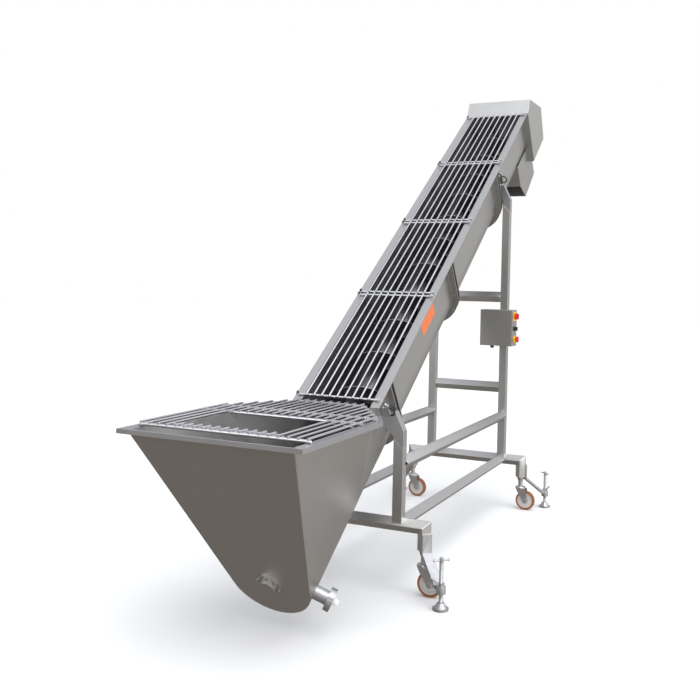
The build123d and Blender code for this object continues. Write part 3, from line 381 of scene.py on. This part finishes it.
def label_finish(name):
    """A plain orange plate with a soft sheen and slight fading."""
    colour = (0.80, 0.155, 0.022)
    paint = Paint(name, colour, 0.0, 0.38, Coat_Weight=0.3, Coat_Roughness=0.25)
    fade = paint.noise(paint.coords(), 14.0, 4.0, 0.6)
    fibre = paint.noise(paint.coords((0, 0, 0), (900.0, 900.0, 900.0)), 1.0, 2.0, 0.5)
    paint.set("Base Color", paint.mix(fade.ramp(0.35, 0.75) * 0.4, colour, (0.86, 0.24, 0.06)))
    paint.set("Roughness", (0.32 + fade * 0.12 + fibre * 0.05).held())
    paint.set("Normal", paint.bump(fibre, 0.06, 0.0002))
    return paint.material


def weld_finish(name):
    """A cleaned stainless weld: bright ripples with a little straw and blue heat tint."""
    colour = (0.50, 0.49, 0.48)
    paint = Paint(name, colour, 1.0, 0.34)
    tint = paint.noise(paint.coords(), 30.0, 3.0, 0.6)
    grit = paint.noise(paint.coords(), 900.0, 3.0, 0.6)
    shade = paint.mix(tint.ramp(0.52, 0.70) * 0.5, colour, (0.46, 0.36, 0.22))
    shade = paint.mix(tint.ramp(0.30, 0.44, 1.0, 0.0) * 0.35, shade, (0.26, 0.30, 0.40))
    paint.set("Base Color", shade)
    paint.set("Roughness", (0.26 + grit * 0.2).held())
    paint.set("Normal", paint.bump(grit, 0.15, 0.0002))
    return paint.material


def floor_finish(name, colour):
    """A plain pale floor with a barely visible texture."""
    paint = Paint(name, colour, 0.0, 0.8)
    tone = paint.noise(paint.coords(), 2.0, 3.0, 0.5)
    paint.set("Base Color", paint.mix(tone.ramp(0.3, 0.7) * 0.3, colour, tinted(colour, 0.985)))
    return paint.material


# ================================================================== surfaces
def grid_faces(rows, cols, wrap=True, flip=False):
    """Four-sided faces of a grid of points, joined round its columns when wrap is set."""
    i = np.arange(rows - 1)[:, None]
    j = np.arange(cols if wrap else cols - 1)[None, :]
    k = (j + 1) % cols
    faces = np.stack([i * cols + j, i * cols + k, (i + 1) * cols + k, (i + 1) * cols + j], -1)
    faces = faces.reshape(-1, 4)
    return faces[:, ::-1] if flip else faces


class Shell:
    """Points and faces gathered for one piece."""

    def __init__(self):
        self.points, self.faces, self.count = [], [], 0

    def add(self, grid, wrap=True, flip=False, ends=True):
        """A grid of points (rows, columns, 3); ends closes its first and last rows with a fan."""
        rows, cols = grid.shape[:2]
        flat = grid.reshape(-1, 3)
        faces = [grid_faces(rows, cols, wrap, flip)]
        extra = []
        if ends and wrap:
            for row, turned in ((0, not flip), (rows - 1, flip)):
                centre = grid[row].mean(0)
                pole = rows * cols + len(extra)
                extra.append(centre)
                j = np.arange(cols)
                a, b = row * cols + j, row * cols + (j + 1) % cols
                fan = np.stack([a, b, np.full(cols, pole)], -1)
                faces.append(fan[:, ::-1] if turned else fan)
        if extra:
            flat = np.vstack([flat, np.array(extra)])
        for block in faces:
            self.faces.extend((block + self.count).tolist())
        self.points.append(flat)
        self.count += len(flat)
        return self

    def piece(self, name, material, body, slot=None, smooth_angle=35.0):
        """Makes the object, with its place in its mesh, and lets it ride on a body."""
        mesh = bpy.data.meshes.new(name)
        mesh.from_pydata(np.vstack(self.points).tolist(), [], self.faces)
        mesh.validate()
        mesh.polygons.foreach_set("use_smooth", [True] * len(mesh.polygons))
        mesh.set_sharp_from_angle(angle=math.radians(smooth_angle))
        mesh.materials.append(material)
        thing = bpy.data.objects.new(name, mesh)
        bpy.context.scene.collection.objects.link(thing)
        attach(thing, body)
        return thing


def on_deck(u, y, w):
    """Points given along the incline, across it and above the flange plane, in the row frame."""
    u, y, w = np.broadcast_arrays(np.asarray(u, float), np.asarray(y, float), np.asarray(w, float))
    return np.stack([POST_FACE + u * COS - w * SIN, y, DECK_Z + u * SIN + w * COS], -1)


def side_axes(axis):
    """Two unit vectors square to an axis and to each other, right-handed with it."""
    axis = np.asarray(axis, float) / np.linalg.norm(axis)
    helper = np.array([0.0, 0.0, 1.0]) if abs(axis[2]) < 0.9 else np.array([1.0, 0.0, 0.0])
    first = np.cross(helper, axis)
    first /= np.linalg.norm(first)
    return first, np.cross(axis, first), axis


def turned(profile, origin, axis, steps=24, corners=0, phase=0.0):
    """A profile of (radius, height) turned round an axis. With corners set, the radius at each
    angle is divided by the cosine of the angle to the nearest flat, which gives a polygon."""
    profile = np.asarray(profile, float)
    angle = np.linspace(0.0, 2 * np.pi, steps, endpoint=False) + phase
    shape = np.ones(steps)
    if corners:
        sector = 2 * np.pi / corners
        shape = 1.0 / np.cos((angle - phase) % sector - sector / 2)
    first, second, third = side_axes(axis)
    radial = np.cos(angle)[:, None] * first + np.sin(angle)[:, None] * second
    radius = profile[:, 0][:, None] * np.where(profile[:, 0][:, None] > 0, shape, 1.0)
    return (np.asarray(origin, float) + radius[..., None] * radial
            + profile[:, 1][:, None, None] * third)


def hexagon(flat, low, high, chamfer=0.12):
    """Profile of a hexagon head: a small chamfer at each end of its straight sides."""
    c = flat * chamfer
    return [(flat - c, low), (flat, low + c * 0.5), (flat, high - c * 0.5), (flat - c, high)]


def bolt(shell, origin, axis, flat, height, washer=True, steps=24):
    """A hexagon head on a washer with a slightly domed top."""
    base = 0.0
    if washer:
        r = flat * 1.22
        shell.add(turned([(r * 0.97, 0.0), (r, 0.0003), (r, 0.0011), (r * 0.96, 0.0014)],
                         origin, axis, steps))
        base = 0.0014
    top = base + height
    shell.add(turned(hexagon(flat, base, top), origin, axis, steps, 6))
    shell.add(turned([(flat * 0.80, top - 0.0002), (flat * 0.74, top + 0.0004),
                      (flat * 0.3, top + 0.0007)], origin, axis, steps))


def spaced(path, step):
    """Points at even distances along a broken line."""
    path = np.asarray(path, float)
    length = np.concatenate([[0.0], np.cumsum(np.linalg.norm(np.diff(path, axis=0), axis=1))])
    count = max(3, int(round(length[-1] / step)) + 1)
    at = np.linspace(0.0, length[-1], count)
    return np.stack([np.interp(at, length, path[:, k]) for k in range(3)], -1), at


def swept(path, radius, sides=8):
    """A round section carried along a path. At each point the section stands square to the
    line to its neighbours; its first side keeps to one fixed direction."""
    path = np.asarray(path, float)
    run = np.gradient(path, axis=0)
    run /= np.linalg.norm(run, axis=1)[:, None] + 1e-12
    mean = np.abs(run).mean(0)
    helper = np.eye(3)[int(np.argmin(mean))]
    first = np.cross(helper, run)
    first /= np.linalg.norm(first, axis=1)[:, None] + 1e-12
    second = np.cross(run, first)
    angle = np.linspace(0.0, 2 * np.pi, sides, endpoint=False)
    radius = np.broadcast_to(np.asarray(radius, float), (len(path),))
    return path[:, None, :] + radius[:, None, None] * (
        np.cos(angle)[None, :, None] * first[:, None, :]
        + np.sin(angle)[None, :, None] * second[:, None, :])


def weld(shell, path, radius, ripple, sides=7):
    """A bead along a path: its radius swells and falls once for every ripple."""
    points, at = spaced(path, ripple / 3.0)
    swell = radius * (0.90 + 0.14 * np.abs(np.sin(np.pi * at / ripple)))
    swell[0] *= 0.6
    swell[-1] *= 0.6
    shell.add(swept(points, swell, sides))


def u_path(u, radius, top=-0.004, count=40):
    """Down one wall of the trough, round its bottom and up the other, at one distance u."""
    angle = np.linspace(np.pi, 2 * np.pi, count)
    y = np.concatenate([[-radius], radius * np.cos(angle), [radius]])
    w = np.concatenate([[top], -AXIS_DEPTH + radius * np.sin(angle), [top]])
    return on_deck(u, y, w)


# ================================================================== finish every CAD node
def give(node, material, edge=0.0, segments=2):
    """Puts a material on a CAD node, and rounds its sharp edges by a bevel that follows a weld
    of its loose faces."""
    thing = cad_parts[node]
    thing.data.materials.clear()
    thing.data.materials.append(material)
    if edge > 0:
        seam = thing.modifiers.new("Seam", "WELD")
        seam.merge_threshold = 0.00001
        bevel = thing.modifiers.new("Edge", "BEVEL")
        bevel.width = edge
        bevel.segments = segments
        bevel.limit_method = "ANGLE"
        bevel.angle_limit = math.radians(40)
        bevel.use_clamp_overlap = True
        bevel.harden_normals = False
    return thing


FINISH = {}


class AUGER_OT_finishes(Operator):
    """Make the finishes and put them on the machine's parts"""

    bl_idname = "auger.finishes"
    bl_label = "Finishes"

    def execute(self, context):
        steel = context.scene.auger_steel
        detail = context.scene.auger_detail
        sheet, tubes = tuple(steel.sheet), tuple(steel.tubes)
        bright, inside = tuple(steel.bright), tuple(steel.inside)
        grain, rough = steel.grain, steel.roughness
        lie = (0.0, INCLINE, 0.0)
        FINISH.update({
            "trough": brushed("TroughSteel", sheet, rough, grain, lie, 0),
            # The trough's inside and the screw get the darker inside colour, which paints the shade of the
            # hollow into the steel
            "inside": brushed("PaintedShadeInsideSteel", inside, 0.36, grain * 0.6, lie, 1, 0.5),
            "hopper": brushed("HopperSteel", sheet, rough, grain, lie, 0, 0.3),
            "front": brushed("FrontPlateSteel", tuple(steel.front), rough + 0.06, grain, lie, 1, 0.3),
            "rim": brushed("RimSteel", tinted(bright, 0.82), 0.40, grain, (0, 0, 0), 1, 0.2),
            "tube_x": brushed("TubeSteelLong", tubes, rough - 0.03, grain, (0, 0, 0), 0),
            "tube_y": brushed("TubeSteelAcross", tubes, rough - 0.03, grain, (0, 0, 0), 1),
            "tube_z": brushed("TubeSteelUpright", tubes, rough - 0.03, grain, (0, 0, 0), 2),
            "hood": brushed("HoodSteel", tinted(sheet, 1.08), rough, grain, lie, 1, 0.3),
            "band": brushed("BandSteel", tinted(sheet, 0.85), rough + 0.05, grain, (0, 0, 0), 1, 0.5),
            "chute": brushed("ChuteSteel", tinted(sheet, 0.95), rough + 0.04, grain, (0, 0, 0), 2, 0.4),
            "bars": brushed("BarSteel", tinted(bright, 1.05), 0.33, grain, lie, 0, 0.2),
            "box": brushed("BoxSteel", tinted(sheet, 0.95), rough + 0.04, grain, (0, 0, 0), 2, 0.2),
            "cast": cast("CastSteel", tinted(bright, 0.86), 1.0, 0.38),
            "plated": cast("PlatedSteel", tinted(bright, 0.95), 1.0, 0.27, 500.0, 0.1),
            "dark_bolt": cast("DarkBolt", (0.06, 0.06, 0.065), 1.0, 0.42),
            "weld": weld_finish("WeldBead"),
            "rubber": cast("BlackRubber", (0.018, 0.018, 0.018), 0.0, 0.62),
            "black": cast("BlackPlastic", (0.016, 0.016, 0.018), 0.0, 0.40, 900.0, 0.08),
            "white": cast("WhitePlastic", (0.78, 0.78, 0.76), 0.0, 0.42, 600.0, 0.08),
            "yellow": cast("YellowPlastic", (0.83, 0.52, 0.02), 0.0, 0.36, 700.0, 0.08),
            "red": cast("RedPlastic", (0.62, 0.025, 0.014), 0.0, 0.30, 700.0, 0.06),
            "motor": cast("MotorPaint", (0.13, 0.15, 0.18), 0.0, 0.45, 300.0, 0.3),
            "bronze": cast("Bronze", (0.52, 0.33, 0.14), 1.0, 0.36),
            "label": label_finish("OrangeLabel"),
        })
        for side in (-1, 1):
            FINISH["wheel", side] = wheel_finish("WheelRight" if side < 0 else "WheelLeft",
                                                 side * STUB_Y - TRAIL)
        round_edge = detail.edge
        plain = {
            "posts": ("tube_z", round_edge), "post_caps": ("tube_y", 0.0008),
            "base_tubes": ("tube_y", round_edge), "rear_cross_rails": ("tube_y", round_edge),
            "side_rails": ("tube_x", round_edge), "castor_sockets": ("tube_z", 0.001),
            "jack_arms": ("cast", 0.0015), "trough_lower": ("trough", 0.0),
            "trough_upper": ("trough", 0.0), "trough_bands": ("band", 0.0),
            "band_bolts": ("plated", 0.0), "post_brackets": ("rim", 0.0015),
            "lifting_lugs": ("rim", 0.0015), "lifting_loops": ("rubber", 0.0),
            "side_label": ("label", 0.0), "hopper_shell": ("hopper", 0.0),
            "hopper_front_plate": ("front", 0.0), "hopper_rim": ("rim", 0.0),
            "tail_bearing_cap": ("front", 0.0), "screw_bearings": ("bronze", 0.0),
            "head_plate": ("trough", 0.0), "drive_hood": ("hood", 0.0012),
            "gearmotor": ("motor", 0.0), "discharge_chute": ("chute", 0.0),
            "trough_grille": ("bars", 0.0), "hopper_grating": ("bars", 0.0),
            "drain_pipe": ("cast", 0.0), "drain_plug": ("white", 0.0),
            "control_case": ("box", 0.002), "control_lid": ("box", 0.0008),
            "cable_gland": ("black", 0.0), "yellow_bases": ("yellow", 0.0008),
            "selector_ring": ("black", 0.0005), "contact_blocks": ("white", 0.0),
            "screw_shaft": ("inside", 0.0), "screw_flight": ("inside", 0.0),
            "drain_nut": ("cast", 0.0), "isolator_knob": ("red", 0.001),
            "selector_knob": ("black", 0.0008), "stop_button": ("red", 0.0),
        }
        for node, (finish, edge) in plain.items():
            give(node, FINISH[finish], edge)
        for corner, (_, side) in CORNERS.items():
            give("castor_fork_" + corner, FINISH["plated"])
            give("castor_wheel_" + corner, FINISH["wheel", side])
            give("jack_foot_" + corner, FINISH["cast"])
            give("jack_screw_" + corner, FINISH["plated"])
            give("jack_lever_" + corner, FINISH["plated"])
        return {"FINISHED"}


# ================================================================== welds
def square_loop(y, z, x, half, turn=True):
    """A closed loop round a square tube's end that meets a wall at x."""
    h = half * math.sqrt(2) if turn else half
    if turn:
        ring = [(0, h), (h, 0), (0, -h), (-h, 0), (0, h)]
    else:
        ring = [(h, h), (h, -h), (-h, -h), (-h, h), (h, h)]
    return [(x, y + a, z + b) for a, b in ring]


class AUGER_OT_frame_welds(Operator):
    """Run the weld beads of the tube frame"""

    bl_idname = "auger.frame_welds"
    bl_label = "Frame welds"

    def execute(self, context):
        detail = context.scene.auger_detail
        bead, ripple = detail.bead, detail.ripple
        half = TUBE / 2
        shell = Shell()
        for x in (FRONT_X, REAR_X):
            for side in (-1, 1):
                for y in (side * POST_Y - half, side * POST_Y + half):
                    crown = BASE_Z + HALF_DIAGONAL
                    weld(shell, [(x - half, y, crown - half), (x, y, crown), (x + half, y, crown - half)],
                         bead, ripple)
                for edge in (-half, half):
                    z = BASE_Z + HALF_DIAGONAL - half
                    weld(shell, [(x + edge, side * POST_Y - half, z), (x + edge, side * POST_Y + half, z)],
                         bead, ripple)
        for side in (-1, 1):
            for x in (FRONT_X + half, REAR_X - half):
                weld(shell, square_loop(side * POST_Y, MID_RAIL_Z, x, half), bead, ripple)
        for z in CROSS_RAILS_Z:
            for side in (-1, 1):
                y = side * (POST_Y - half)
                ring = [(REAR_X + a, y, z + b) for a, b in
                        ((0, HALF_DIAGONAL), (half, HALF_DIAGONAL - half))]
                weld(shell, ring, bead, ripple)
                ring = [(REAR_X - half, y, z + HALF_DIAGONAL - half), (REAR_X, y, z + HALF_DIAGONAL)]
                weld(shell, ring, bead, ripple)
                ring = [(REAR_X - half, y, z - HALF_DIAGONAL + half), (REAR_X, y, z - HALF_DIAGONAL),
                        (REAR_X + half, y, z - HALF_DIAGONAL + half)]
                weld(shell, ring, bead, ripple)
        for corner, (sx, sy) in CORNERS.items():
            x = FRONT_X if sx < 0 else REAR_X
            out = np.array([sx, sy]) / math.sqrt(2)
            across = np.array([-out[1], out[0]])
            centre = np.array([x, sy * STUB_Y])
            top = STUB_WELD_TOP
            for s in (-1, 1):
                foot = centre + out * half + across * s * half
                weld(shell, [(*foot, STUB_BOTTOM_Z + 0.002), (*foot, top)], bead, ripple)
            left, right = (centre + out * half + across * s * half for s in (-1, 1))
            weld(shell, [(*left, top), (*right, top)], bead, ripple)
        shell.piece("frame_welds", FINISH["weld"], "frame", "stainless_sheet", 60)
        return {"FINISHED"}


class AUGER_OT_trough_welds(Operator):
    """Run the weld beads of the trough bands"""

    bl_idname = "auger.trough_welds"
    bl_label = "Trough welds"

    def execute(self, context):
        detail = context.scene.auger_detail
        bead, ripple = detail.bead * 0.85, detail.ripple * 1.6
        shell = Shell()
        for u in BANDS:
            for side in (-1, 1):
                edge = u + side * (BAND_GAP / 2 + BAND_PLATE)
                weld(shell, u_path(edge, TROUGH_R + 0.0005), bead, ripple, 6)
        shell.piece("trough_welds", FINISH["weld"], "frame", "stainless_sheet", 60)
        return {"FINISHED"}


# ================================================================== jacks
class AUGER_OT_jack_screws(Operator):
    """Cut the threads of the jack screws, with their tommy bars"""

    bl_idname = "auger.jack_screws"
    bl_label = "Jack screws"

    def execute(self, context):
        detail = context.scene.auger_detail
        pitch, depth = detail.thread_pitch, detail.thread_depth
        for corner, (sx, sy) in CORNERS.items():
            node = "jack_screw_" + corner
            low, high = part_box(node)
            x = (low.x + high.x) / 2
            y = (low.y + high.y) / 2
            heading = math.atan2(sy, sx)
            shell = Shell()
            crest, bottom, top = SPINDLE_R, SPINDLE_LOW, SPINDLE_TOP
            # thread: the radius falls from crest to root and back once for every pitch climbed,
            # and the fall starts one pitch further up for every full turn
            rows = int((top - bottom) / (pitch / 6)) + 1
            z = np.linspace(bottom, top, rows)[:, None]
            angle = np.linspace(0.0, 2 * np.pi, 28, endpoint=False)[None, :]
            phase = (z / pitch - angle / (2 * np.pi)) % 1.0
            tooth = np.clip(1.6 * np.abs(2 * phase - 1) - 0.3, 0.0, 1.0)
            radius = crest - depth * tooth
            fade = np.clip((top - 0.001 - z) / 0.002, 0.0, 1.0) * np.clip((z - bottom) / 0.001, 0.3, 1.0)
            plain = np.clip((PLAIN_TOP - z) / 0.002, 0.0, 1.0) * np.clip((z - PLAIN_LOW) / 0.003, 0.0, 1.0)
            radius = radius * (1 - plain) + crest * 0.995 * plain
            radius = radius * (0.80 + 0.20 * fade)
            shell.add(np.stack([x + radius * np.cos(angle), y + radius * np.sin(angle),
                                z + 0 * angle], -1))
            pin = [(PIN_R, PIN_LOW), (PIN_R, SPINDLE_LOW + 0.0005)]
            shell.add(turned(pin, (x, y, 0), (0, 0, 1), 20))
            bar = np.array([-math.sin(heading), math.cos(heading), 0.0])
            centre = np.array([x, y, TOMMY_Z])
            span = np.linspace(-TOMMY_HALF, TOMMY_HALF, 9)
            shell.add(swept(centre + span[:, None] * bar, TOMMY_R, 14))
            for s in (-1, 1):
                end = centre + bar * s * TOMMY_HALF
                shell.add(turned([(0.0035, -0.004), (0.0055, -0.0034), (0.006, -0.0022),
                                  (0.006, 0.0022), (0.0055, 0.0034), (0.0035, 0.004)],
                                 end, bar * s, 16))
            piece = shell.piece("jack_thread_" + corner, FINISH["plated"], node, "stainless_bright", 50)
            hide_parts(node)
        return {"FINISHED"}


# ================================================================== castors
class AUGER_OT_castor_details(Operator):
    """Fit the castors' axle nuts, king pins and ball race rings"""

    bl_idname = "auger.castor_details"
    bl_label = "Castor details"

    def execute(self, context):
        steps = context.scene.auger_detail.round_steps
        for corner, (sx, sy) in CORNERS.items():
            x = FRONT_X if sx < 0 else REAR_X
            y = sy * STUB_Y
            shell = Shell()
            race = [(0.0305, 0.1375), (0.0318, 0.1383), (0.0318, 0.1400), (0.0300, 0.1408)]
            shell.add(turned(race, (x, y, 0), (0, 0, 1), 40))
            king_pin = hexagon(0.0085, CROWN_TOP, CROWN_TOP + 0.008)
            shell.add(turned(king_pin, (x, y, 0), (0, 0, 1), steps, 6))
            for s in (-1, 1):
                face = (x + s * FORK_HALF, y - TRAIL, WHEEL_R)
                shell.add(turned([(0.0108, 0.0), (0.0112, 0.0004), (0.0112, 0.0014),
                                  (0.0106, 0.0018)], face, (s, 0, 0), steps))
                if s > 0:
                    shell.add(turned(hexagon(0.0088, 0.0017, 0.0040), face, (s, 0, 0), steps, 6))
                else:
                    shell.add(turned([(0.0088, 0.0016), (0.0092, 0.0024), (0.0080, 0.0038),
                                      (0.0045, 0.0042)], face, (s, 0, 0), steps))
            shell.piece("castor_fixings_" + corner, FINISH["plated"], "castor_fork_" + corner,
                        "stainless_bright", 40)
            seal = Shell()
            for s in (-1, 1):
                face = (x + s * HUB_HALF, y - TRAIL, WHEEL_R)
                # a shallow ring that stands proud of the wheel's dish
                seal.add(turned([(0.0160, -0.0010), (0.0178, 0.0008), (0.0190, 0.0010),
                                 (0.0204, -0.0010)], face, (s, 0, 0), 32), ends=False)
            seal.piece("castor_seals_" + corner, FINISH["black"], "castor_wheel_" + corner,
                       "castor_tyre", 40)
        return {"FINISHED"}


# ================================================================== guards and head
class AUGER_OT_guard_bolts(Operator):
    """Fit the dark clamp bolts of the guard sections and the hood's screws"""

    bl_idname = "auger.guard_bolts"
    bl_label = "Guard bolts"

    def execute(self, context):
        steps = context.scene.auger_detail.round_steps
        up = (-SIN, 0.0, COS)
        shell = Shell()
        beside = [u + side * CLAMP_GAP for u in GUARD_JOINTS for side in (-1, 1)]
        for u in (GUARD_ENDS[0], *beside, GUARD_ENDS[1]):
            spot = on_deck(u, CLAMP_Y, CLAMP_TOP)
            bolt(shell, spot, up, 0.0055, 0.0046, True, steps)
        shell.piece("guard_bolts", FINISH["dark_bolt"], "frame", "stainless_bright", 40)
        hood = Shell()
        for side in (-1, 1):
            for u, w in ((3.012, -0.050), (3.012, -0.200), (3.012, -0.350),
                         (3.200, -0.370), (3.350, -0.362)):
                spot = on_deck(u, side * HOOD_HALF, w)
                hood.add(turned([(0.0052, -0.0005), (0.0052, 0.0008), (0.0040, 0.0019),
                                 (0.0015, 0.0023)], spot, (0, side, 0), steps))
        hood.piece("hood_screws", FINISH["plated"], "frame", "stainless_bright", 40)
        return {"FINISHED"}


# ================================================================== controls
class AUGER_OT_controls(Operator):
    """Fit the control box's lid screws, marks and grip rings"""

    bl_idname = "auger.controls"
    bl_label = "Controls"

    def execute(self, context):
        steps = context.scene.auger_detail.round_steps
        low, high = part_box("control_lid")
        face = low.y
        shell = Shell()
        for x in (low.x + LID_SCREW_INSET, high.x - LID_SCREW_INSET):
            for z in (low.z + LID_SCREW_INSET, high.z - LID_SCREW_INSET):
                shell.add(turned([(0.0042, -0.0003), (0.0042, 0.0009), (0.0034, 0.0020),
                                  (0.0012, 0.0024)], (x, face, z), (0, -1, 0), steps))
        shell.piece("lid_screws", FINISH["plated"], "frame", "stainless_bright", 40)
        knob_low, knob_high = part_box("selector_knob")
        x = (knob_low.x + knob_high.x) / 2
        z = (knob_low.z + knob_high.z) / 2
        front = knob_low.y
        mark = Shell()
        # the mark is a thin bar with rounded ends: an oval carried outwards
        angle = np.linspace(0, 2 * np.pi, 32, endpoint=False)
        layers = []
        for scale, out in ((1.0, 0.0), (1.0, 0.00035), (0.82, 0.0006)):
            layers.append(np.stack([x + 0.0016 * scale * np.cos(angle), np.full(32, front - out),
                                    z + 0.003 + 0.0075 * scale * np.sin(angle)], -1))
        mark.add(np.array(layers))
        mark.piece("selector_mark", FINISH["white"], "selector", "white_plastic", 40)
        grip = Shell()
        stop_low, stop_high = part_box("stop_button")
        sx, sz = (stop_low.x + stop_high.x) / 2, (stop_low.z + stop_high.z) / 2
        # three curved arrows' shafts on the head: arcs a third of a turn apart
        for k in range(3):
            arc = np.linspace(0.3, 1.5, 14) + 2 * np.pi / 3 * k
            ring = np.stack([sx + 0.0105 * np.cos(arc), np.full(14, stop_low.y - 0.0001),
                             sz + 0.0105 * np.sin(arc)], -1)
            width = 0.0007 + 0.0009 * np.linspace(0, 1, 14) ** 6
            grip.add(swept(ring, width, 6))
        grip.piece("stop_arrows", FINISH["white"], "stop", "red_plastic", 50)
        return {"FINISHED"}


# ================================================================== stage
class AUGER_OT_stage(Operator):
    """Lay the floor, hang the lights and set the camera"""

    bl_idname = "auger.stage"
    bl_label = "Stage"

    def execute(self, context):
        stage = context.scene.auger_stage
        scene = context.scene
        size = 40.0
        edge = np.linspace(-size, size, 3)
        gx, gy = np.meshgrid(edge, edge, indexing="ij")
        mesh = bpy.data.meshes.new("floor")
        points = np.stack([gx, gy, np.full_like(gx, -0.0006)], -1).reshape(-1, 3)
        mesh.from_pydata(points.tolist(), [], grid_faces(3, 3, False, True).tolist())
        mesh.materials.append(floor_finish("PaleFloor", tuple(stage.floor)))
        floor = bpy.data.objects.new("floor", mesh)
        scene.collection.objects.link(floor)
        floor.visible_glossy = False

        world = bpy.data.worlds.new("Room")
        world.use_nodes = True
        tree = world.node_tree
        back = tree.nodes["Background"]
        # what the steel mirrors: pale and cool overhead, dim and warm towards the ground
        split = tree.nodes.new("ShaderNodeSeparateXYZ")
        tree.links.new(tree.nodes.new("ShaderNodeTexCoord").outputs["Generated"], split.inputs[0])
        height = tree.nodes.new("ShaderNodeMapRange")
        height.inputs["From Min"].default_value = -1.0
        tree.links.new(split.outputs["Z"], height.inputs["Value"])
        ramp = tree.nodes.new("ShaderNodeValToRGB")
        for at, colour in ROOM_TONES[:-2]:
            ramp.color_ramp.elements.new(at)
        for element, (at, colour) in zip(ramp.color_ramp.elements, ROOM_TONES):
            element.position = at
            element.color = (*colour, 1.0)
        tree.links.new(height.outputs[0], ramp.inputs[0])
        # the wall on the machine's right is lighter than the others
        aside = tree.nodes.new("ShaderNodeMapRange")
        aside.interpolation_type = "SMOOTHSTEP"
        for key, value in (("From Min", 0.15), ("From Max", -0.85), ("To Max", stage.wall)):
            aside.inputs[key].default_value = value
        tree.links.new(split.outputs["Y"], aside.inputs["Value"])
        wall = tree.nodes.new("ShaderNodeMix")
        wall.data_type = "RGBA"
        wall.blend_type = "ADD"
        wall.inputs[0].default_value = 1.0
        tree.links.new(ramp.outputs[0], wall.inputs[6])
        tree.links.new(aside.outputs[0], wall.inputs[7])
        white = tree.nodes.new("ShaderNodeMix")
        white.data_type = "RGBA"
        tree.links.new(tree.nodes.new("ShaderNodeLightPath").outputs["Is Camera Ray"], white.inputs[0])
        tree.links.new(wall.outputs[2], white.inputs[6])
        white.inputs[7].default_value = (1.0, 1.0, 1.0, 1.0)
        tree.links.new(white.outputs[2], back.inputs["Color"])
        back.inputs["Strength"].default_value = stage.room
        scene.world = world

        sun = bpy.data.lights.new("sun", "SUN")
        sun.energy = stage.sun
        sun.angle = math.radians(50)
        above = bpy.data.objects.new("sun", sun)
        above.rotation_euler = Vector((0.35, 0.30, -1.0)).to_track_quat("-Z", "Y").to_euler()
        scene.collection.objects.link(above)
        lights = (
            ("side", (POST_FACE - 0.5, -6.0, 2.2), (POST_FACE + 0.6, 0.0, 1.2), 3.5, 70.0),
            ("front", (POST_FACE - 5.5, 2.5, 3.0), (POST_FACE + 0.3, 0.0, 1.2), 2.5, 50.0),
        )
        for name, spot, target, width, power in lights:
            lamp = bpy.data.lights.new(name, "AREA")
            lamp.shape = "DISK"
            lamp.size = width
            lamp.energy = power
            light = bpy.data.objects.new(name, lamp)
            light.location = spot
            aim = Vector(target) - Vector(spot)
            light.rotation_euler = aim.to_track_quat("-Z", "Y").to_euler()
            scene.collection.objects.link(light)

        lens = bpy.data.cameras.new("camera")
        lens.lens = stage.lens
        lens.sensor_width = 36.0
        lens.shift_x, lens.shift_y = stage.shift
        lens.clip_start, lens.clip_end = 0.05, 200.0
        camera = bpy.data.objects.new("camera", lens)
        heading, dip, roll = stage.heading, stage.dip, stage.roll
        ahead = Vector((math.cos(dip) * math.cos(heading), math.cos(dip) * math.sin(heading),
                        -math.sin(dip)))
        right = Vector((math.sin(heading), -math.cos(heading), 0.0))
        up = right.cross(ahead)
        across = math.cos(roll) * right + math.sin(roll) * up
        above = -math.sin(roll) * right + math.cos(roll) * up
        camera.matrix_world = Matrix((
            (across.x, above.x, -ahead.x, POST_FACE + stage.camera[0]),
            (across.y, above.y, -ahead.y, stage.camera[1]),
            (across.z, above.z, -ahead.z, stage.camera[2]),
            (0, 0, 0, 1),
        ))
        scene.collection.objects.link(camera)
        scene.camera = camera
        scene.view_settings.view_transform = "Standard"
        return {"FINISHED"}


class AUGER_PT_panel(Panel):
    """The machine's operators in the sidebar"""

    bl_label = "Grain Auger"
    bl_idname = "AUGER_PT_panel"
    bl_space_type = "VIEW_3D"
    bl_region_type = "UI"
    bl_category = "Auger"

    def draw(self, context):
        for group in ("auger_steel", "auger_detail", "auger_stage"):
            settings = getattr(context.scene, group)
            box = self.layout.box()
            for name in settings.__annotations__:
                box.prop(settings, name)
        for operator in OPERATORS:
            self.layout.operator(operator.bl_idname)


OPERATORS = (
    AUGER_OT_finishes,
    AUGER_OT_frame_welds,
    AUGER_OT_trough_welds,
    AUGER_OT_jack_screws,
    AUGER_OT_castor_details,
    AUGER_OT_guard_bolts,
    AUGER_OT_controls,
    AUGER_OT_stage,
)
GROUPS = {"auger_steel": AugerSteel, "auger_detail": AugerDetail, "auger_stage": AugerStage}


def register():
    for group in GROUPS.values():
        bpy.utils.register_class(group)
    for operator in OPERATORS:
        bpy.utils.register_class(operator)
    bpy.utils.register_class(AUGER_PT_panel)
    for name, group in GROUPS.items():
        setattr(bpy.types.Scene, name, PointerProperty(type=group))


def unregister():
    for name in GROUPS:
        delattr(bpy.types.Scene, name)
    bpy.utils.unregister_class(AUGER_PT_panel)
    for operator in reversed(OPERATORS):
        bpy.utils.unregister_class(operator)
    for group in reversed(list(GROUPS.values())):
        bpy.utils.unregister_class(group)


def main():
    register()
    for operator in OPERATORS:
        section, name = operator.bl_idname.split(".")
        getattr(getattr(bpy.ops, section), name)()


if __name__ == "__main__":
    main()
